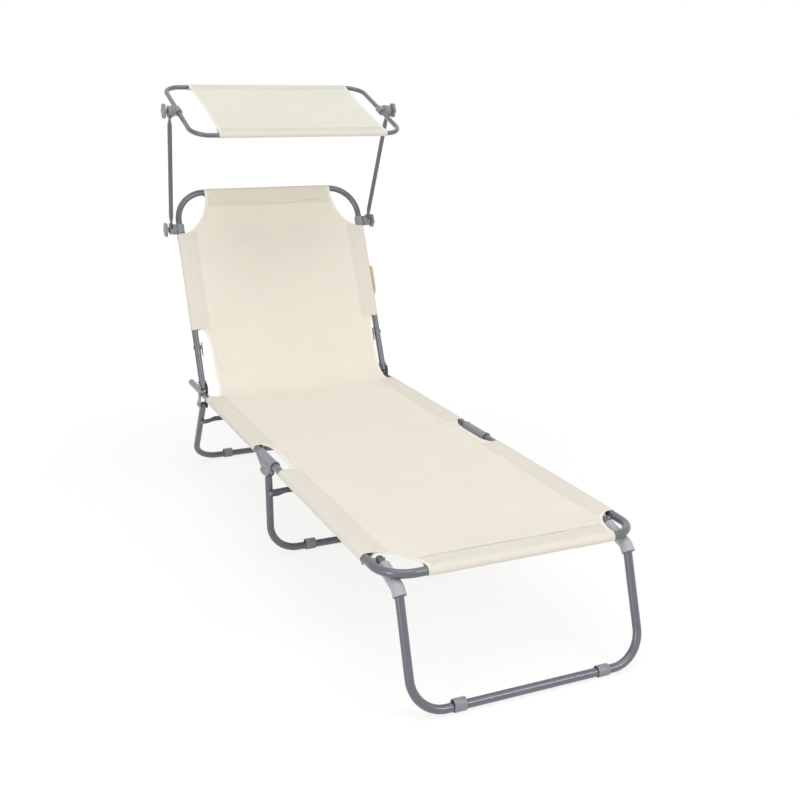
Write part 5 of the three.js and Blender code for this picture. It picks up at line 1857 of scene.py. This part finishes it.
    def sleeve_profile(self, sag: float) -> list[tuple[float, float, float, float]]:
        """Give the section of a side sleeve beyond the panel's edge.

        Args:
            sag: How deep the panel hangs at this row.

        Returns:
            For each point its distance outward from the tube's middle, its height over it, and its normal.
        """
        profile = [(-6.5, self.wrap - self.fall(LAY.rail_half - 6.5, sag), 0.0, 1.0)]
        for k in range(17):
            angle = math.radians(90 - 15 * k)
            out, high = math.cos(angle), math.sin(angle)
            profile.append((self.wrap * out, self.wrap * high, out, high))
        for out, high in ((-12.6, -0.6), (-16.0, 4.4), (-19.5, 7.3)):
            profile.append((out, high - self.fall(LAY.rail_half - 19.5, sag) * 0.6, 0.0, -1.0))
        for out in (-28.0, -37.0, -45.0):
            x = LAY.rail_half + out
            profile.append((out, self.wrap - 1.5 - self.fall(x, sag), 0.0, -1.0))
        return profile

    @staticmethod
    def fall(x: float, sag: float) -> float:
        """Give how far the panel hangs at a place across."""
        return sag * max(0.0, 1 - (x / LAY.rail_half) ** 2)

    def surface(self, x: float, row: Station) -> Spot:
        """Give a place on the panel.

        Args:
            x: Place across.
            row: The row it is on.

        Returns:
            The place and the normal there.
        """
        if row.under:
            return row.at(x, row.crimp * self.crimps(x, row.run) - row.groove)
        edge = min(x - row.left, row.right - x)
        calm = ease(edge / 30) * ease(row.run / 60) * ease((self.top_run - row.run) / 60)
        waves = self.unevenness * slow_waves(x, row.run, 3.0) * calm
        folds = corner_folds(x, row.run, self.corners)
        return row.at(x, waves + folds - self.fall(x, row.sag) - row.groove)

    @staticmethod
    def crimps(place: float, other: float) -> float:
        """Give the fine gathers of cloth drawn round a bar."""
        fine = noise.noise(Vector((place / 7.5, other / 40, 7.0)))
        broad = noise.noise(Vector((place / 19, other / 40, 2.0)))
        return 0.75 * fine + 0.55 * broad

    def build(self) -> None:
        """Build the two stretches of the sling and their stitches."""
        self.corners = self.corner_list()
        rows = self.stations()
        cut = min(range(len(rows)), key=lambda k: abs(rows[k].run - self.split) + 1e6 * rows[k].under)
        hinge = Bend("foot", "seat", Vector((0, 655, LAY.rail_z)), Vector((0, 752, LAY.rail_z)))
        start = Vector((0, self.turn_start - 25, LAY.rail_z))
        hip = Bend("seat", "back", start, LAY.back.at(0, self.turn_end + 45))
        stretches = (
            ("front_sling", rows[: cut + 1], hinge, ["foot_cloth"], (0.72, 1.11), "foot_frame_tube"),
            ("rear_sling", rows[cut:], hip, ["seat_cloth", "back_cloth"], (0.72, 0.97), "backrest_tube"),
        )
        for name, part, ride, nodes, flat, tube in stretches:
            cloth = make_piece(self.sheet(part), name, self.finishes.sling, ride, nodes, math.pi)
            wall(cloth, self.thickness)
            thread = make_piece(self.sew(part).shell, f"{name}_thread", self.finishes.sling_thread, ride)

    def sheet(self, rows: list[Station]) -> Shell:
        """Lay a grid over some rows and take out what isn't cloth.

        Args:
            rows: The rows.

        Returns:
            The sheet.
        """
        shell = Shell()
        extra = len(self.sleeve_profile(0.0))
        lines = [
            [(point, (u * METRES, row.run * METRES), self.layers(point.x, row)) for point, u in line]
            for row, line in ((row, self.line_across(row, extra)) for row in rows)
        ]
        number = shell.lay(lines)
        gone = []
        for face in shell.bm.faces:
            cols = [number[v][0] for v in face.verts]
            outside = min(cols) < extra or max(cols) > len(lines[0]) - 1 - extra
            if outside and not all(rows[number[v][1]].sleeve for v in face.verts):
                gone.append(face)
        bmesh.ops.delete(shell.bm, geom=gone, context="FACES")
        joins = {j for j in (0, len(rows) - 1) if not rows[j].under}
        shell.crisp = {e for e in shell.bm.edges if all(number[v][1] in joins for v in e.verts)}
        shell.face_toward(Vector((0, 400, LAY.rail_z + LAY.panel_rise)), Z_AXIS)
        return shell

    def layers(self, x: float, row: Station) -> float:
        """Give how much darker the cloth's tone is painted at a place as painted shade, or lighter as a
        painted highlight.

        Args:
            x: Place across.
            row: The row.

        Returns:
            1 where the cloth lies in two layers, painted darker as shade, 0 where it is single, a painted
            highlight on hems and painted shade in the grooves.
        """
        # Painted shade on sleeves and end bands in two layers and in grooves, painted highlight along the
        # hems.
        side = row.sleeve and abs(x) > self.edge - SEAM_COLUMNS[1]
        ends = row.run < self.seams[1] or row.run > self.top_run - self.seams[1]
        if row.hem and not row.under and min(x - row.left, row.right - x) < HEM_COLUMNS[1] + 1:
            return HEM_PAINTED_HIGHLIGHT
        return float(side or ends) + GROOVE_PAINTED_SHADE * (row.groove > 0)

    def line_across(self, row: Station, extra: int) -> list[tuple[Vector, float]]:
        """Give the points of one row, from the left sleeve's seam to the right one's.

        Args:
            row: The row.
            extra: Points in each sleeve beyond the panel's edge.

        Returns:
            Each point with its place across for the weave.
        """
        line = []
        for x, inset in columns_between(row.left, row.right):
            point, normal = self.surface(x, row)
            lift = 0.0
            if inset in HEM_COLUMNS:
                lift = 0.75 * row.hem
            if inset == HEM_GROOVE:
                lift = -0.35 * row.hem
            if row.sleeve and inset in SEAM_COLUMNS:
                lift = -0.55
            elif row.sleeve:
                lift = 0.35 * self.crimps(row.run, x) * (1 - ease((abs(inset - 27.5) - 4) / 14))
            line.append((point + normal * lift, x))
        if not row.sleeve:
            return [line[0]] * extra + line + [line[-1]] * extra
        sleeves = []
        for way, (_, place) in ((-1, line[0]), (1, line[-1])):
            sleeve: list[tuple[Vector, float]] = []
            for out, high, nout, nhigh in self.sleeve_profile(row.sag):
                crimp = self.crimps(row.run, high * 2 + way * 50) if out > -9 else 0.0
                shift = 0.8 * crimp * (1 if (nout > 0.1 or nhigh < 0) else 0.15)
                x = way * (LAY.rail_half + (out + nout * shift))
                point = row.at(x, high + nhigh * shift - self.wrap)[0]
                place += way * ((point - sleeve[-1][0]).length if sleeve else 8.0)
                sleeve.append((point, place))
            sleeves.append(sleeve)
        return [*reversed(sleeves[0]), *line, *sleeves[1]]

    def sew(self, rows: list[Station]) -> Stitches:
        """Sew the seams of some rows.

        Args:
            rows: The rows.

        Returns:
            The stitches.
        """
        sewn = Stitches()
        lift = self.thickness / 2
        runs = [(kind, list(part)) for kind, part in groupby(rows, key=lambda row: (row.sleeve, row.under))]
        for way in (-1, 1):
            for inset in SEAM_COLUMNS:
                for (sleeve, _), part in runs:
                    if sleeve:
                        sewn.edge(part, self.surface, inset, way, lift - 0.4)
            for kind, part in runs:
                if kind == (False, False):
                    sewn.edge(part, self.surface, HEM_SEAM, way, lift + 0.25)
        for row in rows:
            if row.groove:
                sewn.across(row, self.surface, lift + 0.05, 120)
        return sewn


@dataclass
class CanopyCloth:
    """The canopy's cloth, with a sleeve on the rear bar and one on the front bar."""

    finishes: Finishes
    half: float = 241.0
    waist: float = 6.5
    sag: float = 6.0
    thickness: float = 1.0
    seams: Pair = (22.0, 28.0)
    gathers: float = 0.5
    unevenness: float = 0.9
    wrap_start: float = 40.0
    wrap_pitch: float = 2.3

    def half_at(self, along: float) -> float:
        """Give half the cloth's width at a distance from the rear bar."""
        return self.half - self.waist * math.sin(math.pi * min(1, max(0, along / LAY.canopy_length)))

    def stations(self) -> list[Station]:
        """Give the cloth's rows, from the seam under the rear bar to the one under the front bar."""
        wrap = LAY.canopy_tube + LAY.running + self.thickness / 2
        length = LAY.canopy_length
        ends = [0.0, 5.0, 12.0, *(seam + step for seam in self.seams for step in (-1.2, 0, 1.2))]
        stops = [*ends, *(40.0 + 15.0 * k for k in range(18)), *(length - end for end in ends)]
        grooves = [*self.seams, *(length - seam for seam in self.seams)]
        rows = self.wrap_rows(0.0, wrap, 1)
        for along in sorted({round(stop, 3) for stop in stops}):
            point = LAY.canopy.at(0, along, wrap)
            wide = self.half_at(along)
            deep = self.sag * math.sin(math.pi * along / length)
            groove = 0.45 if any(abs(along - g) < 0.01 for g in grooves) else 0.0
            edges = (LAY.drift - wide, LAY.drift + wide)
            rows.append(Station(along, point, LAY.canopy.out, *edges, sag=deep, hem=1.0, groove=groove))
        return [*rows, *reversed(self.wrap_rows(length, wrap, -1))]

    def wrap_rows(self, bar: float, wrap: float, sign: int) -> list[Station]:
        """Give the rows round one of the two bars, from the seam under the panel.

        Args:
            bar: The bar's distance from the rear bar.
            wrap: The cloth's distance from the bar's middle.
            sign: 1 where the panel is ahead of the bar, -1 where it is behind it.

        Returns:
            The rows in order from the seam.
        """
        edges = (LAY.drift - self.half, LAY.drift + self.half)
        spots = [(28.0, wrap - 1.4), (22.0, wrap - 1.4), (15.0, wrap - 2.2), (10.4, wrap - 4.6)]
        places = [(d, h, 0.0, -1.0, 0.0) for d, h in spots]
        for angle in (math.radians(-30 - 15 * k) for k in range(16)):
            a, u = math.cos(angle), math.sin(angle)
            places.append((wrap * a, wrap * u, a, u, 1.0))
        rows = []
        for k, (d, h, a, u, crimp) in enumerate(places):
            point = LAY.canopy.at(0, bar + sign * d, h)
            normal = LAY.canopy.along * sign * a + LAY.canopy.out * u
            run = bar - sign * (self.wrap_start - self.wrap_pitch * k)
            rows.append(Station(run, point, normal, *edges, crimp=crimp, under=True))
        return rows

    def surface(self, x: float, row: Station) -> Spot:
        """Give a place on the cloth and the normal there."""
        if row.under:
            return row.at(x, row.crimp * Sling.crimps(x, row.run) * self.gathers - row.groove)
        share = min(1.0, abs(x - LAY.drift) * 2 / (row.right - row.left))
        calm = ease(row.run / 50) * ease((LAY.canopy_length - row.run) / 50)
        waves = self.unevenness * slow_waves(x, row.run, 11.0, 90.0) * calm
        return row.at(x, waves - row.sag * math.cos(math.pi / 2 * share) - row.groove)

    def knot(self, x: float, inset: float, row: Station) -> Knot:
        """Give a point of the cloth, its place on the weave's map and its tone of painted light and shade."""
        point, normal = self.surface(x, row)
        # Painted highlight along the hem rim, painted shade at the ends where the cloth lies in two layers and
        # in the grooves.
        ends = row.run < self.seams[1] or row.run > LAY.canopy_length - self.seams[1]
        rim = 0 <= inset < HEM_GROOVE and not row.under
        tone = HEM_PAINTED_HIGHLIGHT if rim else float(ends) + GROOVE_PAINTED_SHADE * (row.groove > 0)
        return point + normal * (0.5 * (inset in HEM_COLUMNS)), (x * METRES, row.run * METRES), tone

    def build(self) -> None:
        """Build the cloth and its stitches."""
        rows = self.stations()
        shell = Shell()
        lines = ((row, columns_between(row.left, row.right)) for row in rows)
        shell.lay([[self.knot(x, inset, row) for x, inset in line] for row, line in lines])
        shell.face_toward(LAY.canopy.at(0, LAY.canopy_length / 2), LAY.canopy.out)
        cloth = make_piece(shell, "canopy_sheet", self.finishes.canopy, "canopy", ["canopy_cloth"], math.pi)
        wall(cloth, self.thickness)
        sewn = Stitches(pitch=3.6, length=2.7, radius=0.3)
        lift = self.thickness / 2
        for row in rows:
            if row.groove:
                sewn.across(row, self.surface, lift, 100)
        for way in (-1, 1):
            sewn.edge([row for row in rows if not row.under], self.surface, HEM_SEAM, way, lift + 0.2)
        thread = make_piece(sewn.shell, "canopy_sheet_thread", self.finishes.canopy_thread, "canopy")


@dataclass
class Pocket:
    """The open pouch on the outside of the right-hand tube."""

    finishes: Finishes
    along: float = 230.0
    length: float = 95.0
    depth: float = 62.0
    lap: float = 3.0
    bulge: float = 12.6
    inner: float = 291.8
    wall: float = 1.3
    girth: float = 0.15

    def build(self) -> None:
        """Build the pouch: a ring of cloth that closes to a seam at the bottom and opens at the top."""
        shell = Shell()
        sides, steps = 48, 26
        rows = []
        for share in (j / steps for j in range(steps + 1)):
            line = []
            for turn in (i / sides for i in range(sides + 1)):
                across, out, up = self.section(turn, share)
                place = LAY.back.at(self.inner, self.along)
                place += LAY.back.out * across + X_AXIS * out + LAY.back.along * up
                line.append((place, (turn * self.girth, share * self.length * METRES), 0.0))
            rows.append(line)
        shell.lay(rows)
        bmesh.ops.remove_doubles(shell.bm, verts=shell.bm.verts[:], dist=0.02)
        shell.close()
        cloth = make_piece(shell, "pocket_pouch", self.finishes.pocket, "back", ["pocket"], math.pi)
        wall(cloth, self.wall)

    def section(self, turn: float, share: float) -> Triple:
        """Give a point of the pouch.

        Args:
            turn: How far round the pouch, from 0 to 1.
            share: How far up it, from 0 to 1.

        Returns:
            Its distances in front of the tubes, outward and up.
        """
        angle = 2 * math.pi * turn
        power, rim, room = 0.55, 1.2, self.bulge / 2 - 0.9
        cosine, sine = math.cos(angle), math.sin(angle)
        wide = math.copysign(abs(cosine) ** power, cosine)
        thick = math.copysign(abs(sine) ** power, sine)
        swell = (0.3 + 0.7 * math.sin(math.pi * min(1.0, share * 0.62 + 0.12))) * ease(share / 0.16)
        half = (self.depth + self.lap) / 2 - rim
        across = self.lap - rim - half + half * wide * (1 - 0.18 * (1 - ease(share / 0.2)))
        out = self.bulge / 2 + room * (thick * swell - 1 + swell)
        lip = 0.7 * ease((share - 0.86) / 0.03) * (1 - 0.6 * ease((share - 0.97) / 0.03))
        folds = 0.5 * noise.noise(Vector((across / 9, share * 4, 4.0))) * ease(share / 0.16)
        dip = 0.6 * ease((share - 0.6) / 0.4) * (1 + math.cos(2 * angle))
        return across, max(0.75, out + (lip + folds) * max(0.0, thick)), self.length * share - dip + 0.8


# Studio


@dataclass
class Studio:
    """A pale floor, soft lights and the camera."""

    location: Triple = (-1.0185, -2.42017, 1.1485)
    lens: float = 49.51
    sensor: float = 36.0
    yaw: float = math.radians(24.4)
    pitch: float = math.radians(16.5)
    roll: float = math.radians(0.6)
    floor_half: float = 14.0
    floor_drop: float = 0.0002
    floor_tone: float = 0.86
    white: float = 1.07
    fade_start: float = 0.9
    fade_end: float = 2.4
    fade_least: float = 0.74
    ambient: float = 0.62

    def build(self) -> None:
        """Build the floor, the lights, the world and the camera."""
        self.floor()
        self.lights()
        self.world()
        self.camera()

    @staticmethod
    def seen_directly(g: Nodes) -> Socket:
        """Give a value that is 1 for rays from the camera, gloss and glass."""
        best = g.add("LightPath", "Is Camera Ray")
        for word in ("Is Glossy Ray", "Is Transmission Ray"):
            best = g.math("MAXIMUM", best, g.add("LightPath", word))
        return best

    def floor(self) -> None:
        """Build the floor, which keeps the shadow and fades to white away from it."""
        bm = bmesh.new()
        bmesh.ops.create_grid(bm, x_segments=1, y_segments=1, size=self.floor_half)
        mesh = bpy.data.meshes.new("studio_floor")
        bm.to_mesh(mesh)
        bm.free()
        floor = bpy.data.objects.new("studio_floor", mesh)
        bpy.context.scene.collection.objects.link(floor)
        floor.location.z = -self.floor_drop
        floor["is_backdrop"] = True
        material = bpy.data.materials.new("studio_floor")
        material.use_nodes = True
        g = Nodes(material.node_tree)
        pale = g.add("BsdfDiffuse", Color=(*[self.floor_tone] * 3, 1))
        bright = g.add("Emission", Color=(1, 1, 1, 1), Strength=self.white)
        far = g.add("VectorMath", "Value", operation="LENGTH", in0=g.add("TexCoord", "Object"))
        fade = g.add(
            "MapRange",
            interpolation_type="SMOOTHSTEP",
            Value=far,
            From_Min=self.fade_start,
            From_Max=self.fade_end,
            To_Min=self.fade_least,
            To_Max=1.0,
        )
        share = g.math("MULTIPLY", self.seen_directly(g), fade)
        g.end("OutputMaterial", g.add("MixShader", in0=share, in1=pale, in2=bright))
        mesh.materials.append(material)

    @staticmethod
    def lights() -> None:
        """Hang a large soft light overhead and stand one on each side of the camera."""
        rigs = (
            ("overhead", (0.1, -1.2, 6.3), (0.0, 0.0, 0.3), 4.6, 4.6, 110.0),
            ("left", (-2.9, -2.0, 1.15), (0.0, 0.0, 0.45), 0.9, 2.2, 27.0),
            ("right", (1.9, -3.6, 2.6), (0.0, 0.0, 0.4), 1.3, 1.0, 37.0),
        )
        for name, place, aim, size, tall, power in rigs:
            light = bpy.data.lights.new(name, "AREA")
            light.shape = "RECTANGLE"
            light.size = size
            light.size_y = tall
            light.energy = power
            lamp = bpy.data.objects.new(name, light)
            lamp.location = place
            lamp.rotation_euler = (Vector(aim) - Vector(place)).to_track_quat("-Z", "Y").to_euler()
            bpy.context.scene.collection.objects.link(lamp)

    def world(self) -> None:
        """Light from all round, and a white background."""
        world = bpy.data.worlds.new("studio")
        world.use_nodes = True
        bpy.context.scene.world = world
        g = Nodes(world.node_tree)
        level = g.add("MapRange", Value=self.seen_directly(g), To_Min=self.ambient, To_Max=1.0)
        g.end("OutputWorld", g.add("Background", Color=(1, 1, 1, 1), Strength=level))

    def camera(self) -> None:
        """Set the camera where the photograph was taken from."""
        data = bpy.data.cameras.new("camera")
        data.lens = self.lens
        data.sensor_width = self.sensor
        camera = bpy.data.objects.new("camera", data)
        flat = math.cos(self.pitch)
        ahead = Vector((math.sin(self.yaw) * flat, math.cos(self.yaw) * flat, -math.sin(self.pitch)))
        right = Vector((math.cos(self.yaw), -math.sin(self.yaw), 0))
        up = right.cross(ahead)
        c, s = math.cos(self.roll), math.sin(self.roll)
        matrix = Matrix((right * c + up * s, up * c - right * s, -ahead)).transposed().to_4x4()
        matrix.translation = Vector(self.location)
        camera.matrix_world = matrix
        bpy.context.scene.collection.objects.link(camera)
        bpy.context.scene.camera = camera


def numbers(box: object) -> list:
    """Turn a box into plain lists of numbers."""
    if isinstance(box, (int, float)):
        return float(box)
    return [numbers(part) for part in box]


def build_lounger(finishes: Finishes) -> None:
    """Build every sub-assembly in order.

    Args:
        finishes: The finishes.
    """
    frames = (SeatFrame, FootSection, FrontLeg, MiddleLeg, RearLeg, Backrest, CanopyRig)
    for kind in (*frames, Sling, CanopyCloth, Pocket):
        kind(finishes).build()


def main() -> None:
    """Build the lounger in its studio."""
    logging.basicConfig(level=logging.INFO, format="%(name)s %(message)s")
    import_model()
    frame_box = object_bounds()
    bpy.context.scene.view_settings.view_transform = "Standard"
    build_lounger(Finishes())
    Studio().build()
    sizes = {"cad": numbers(frame_box), "visual": numbers(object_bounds())}
    log.info("sizes %s", sizes)


if __name__ == "__main__":
    main()
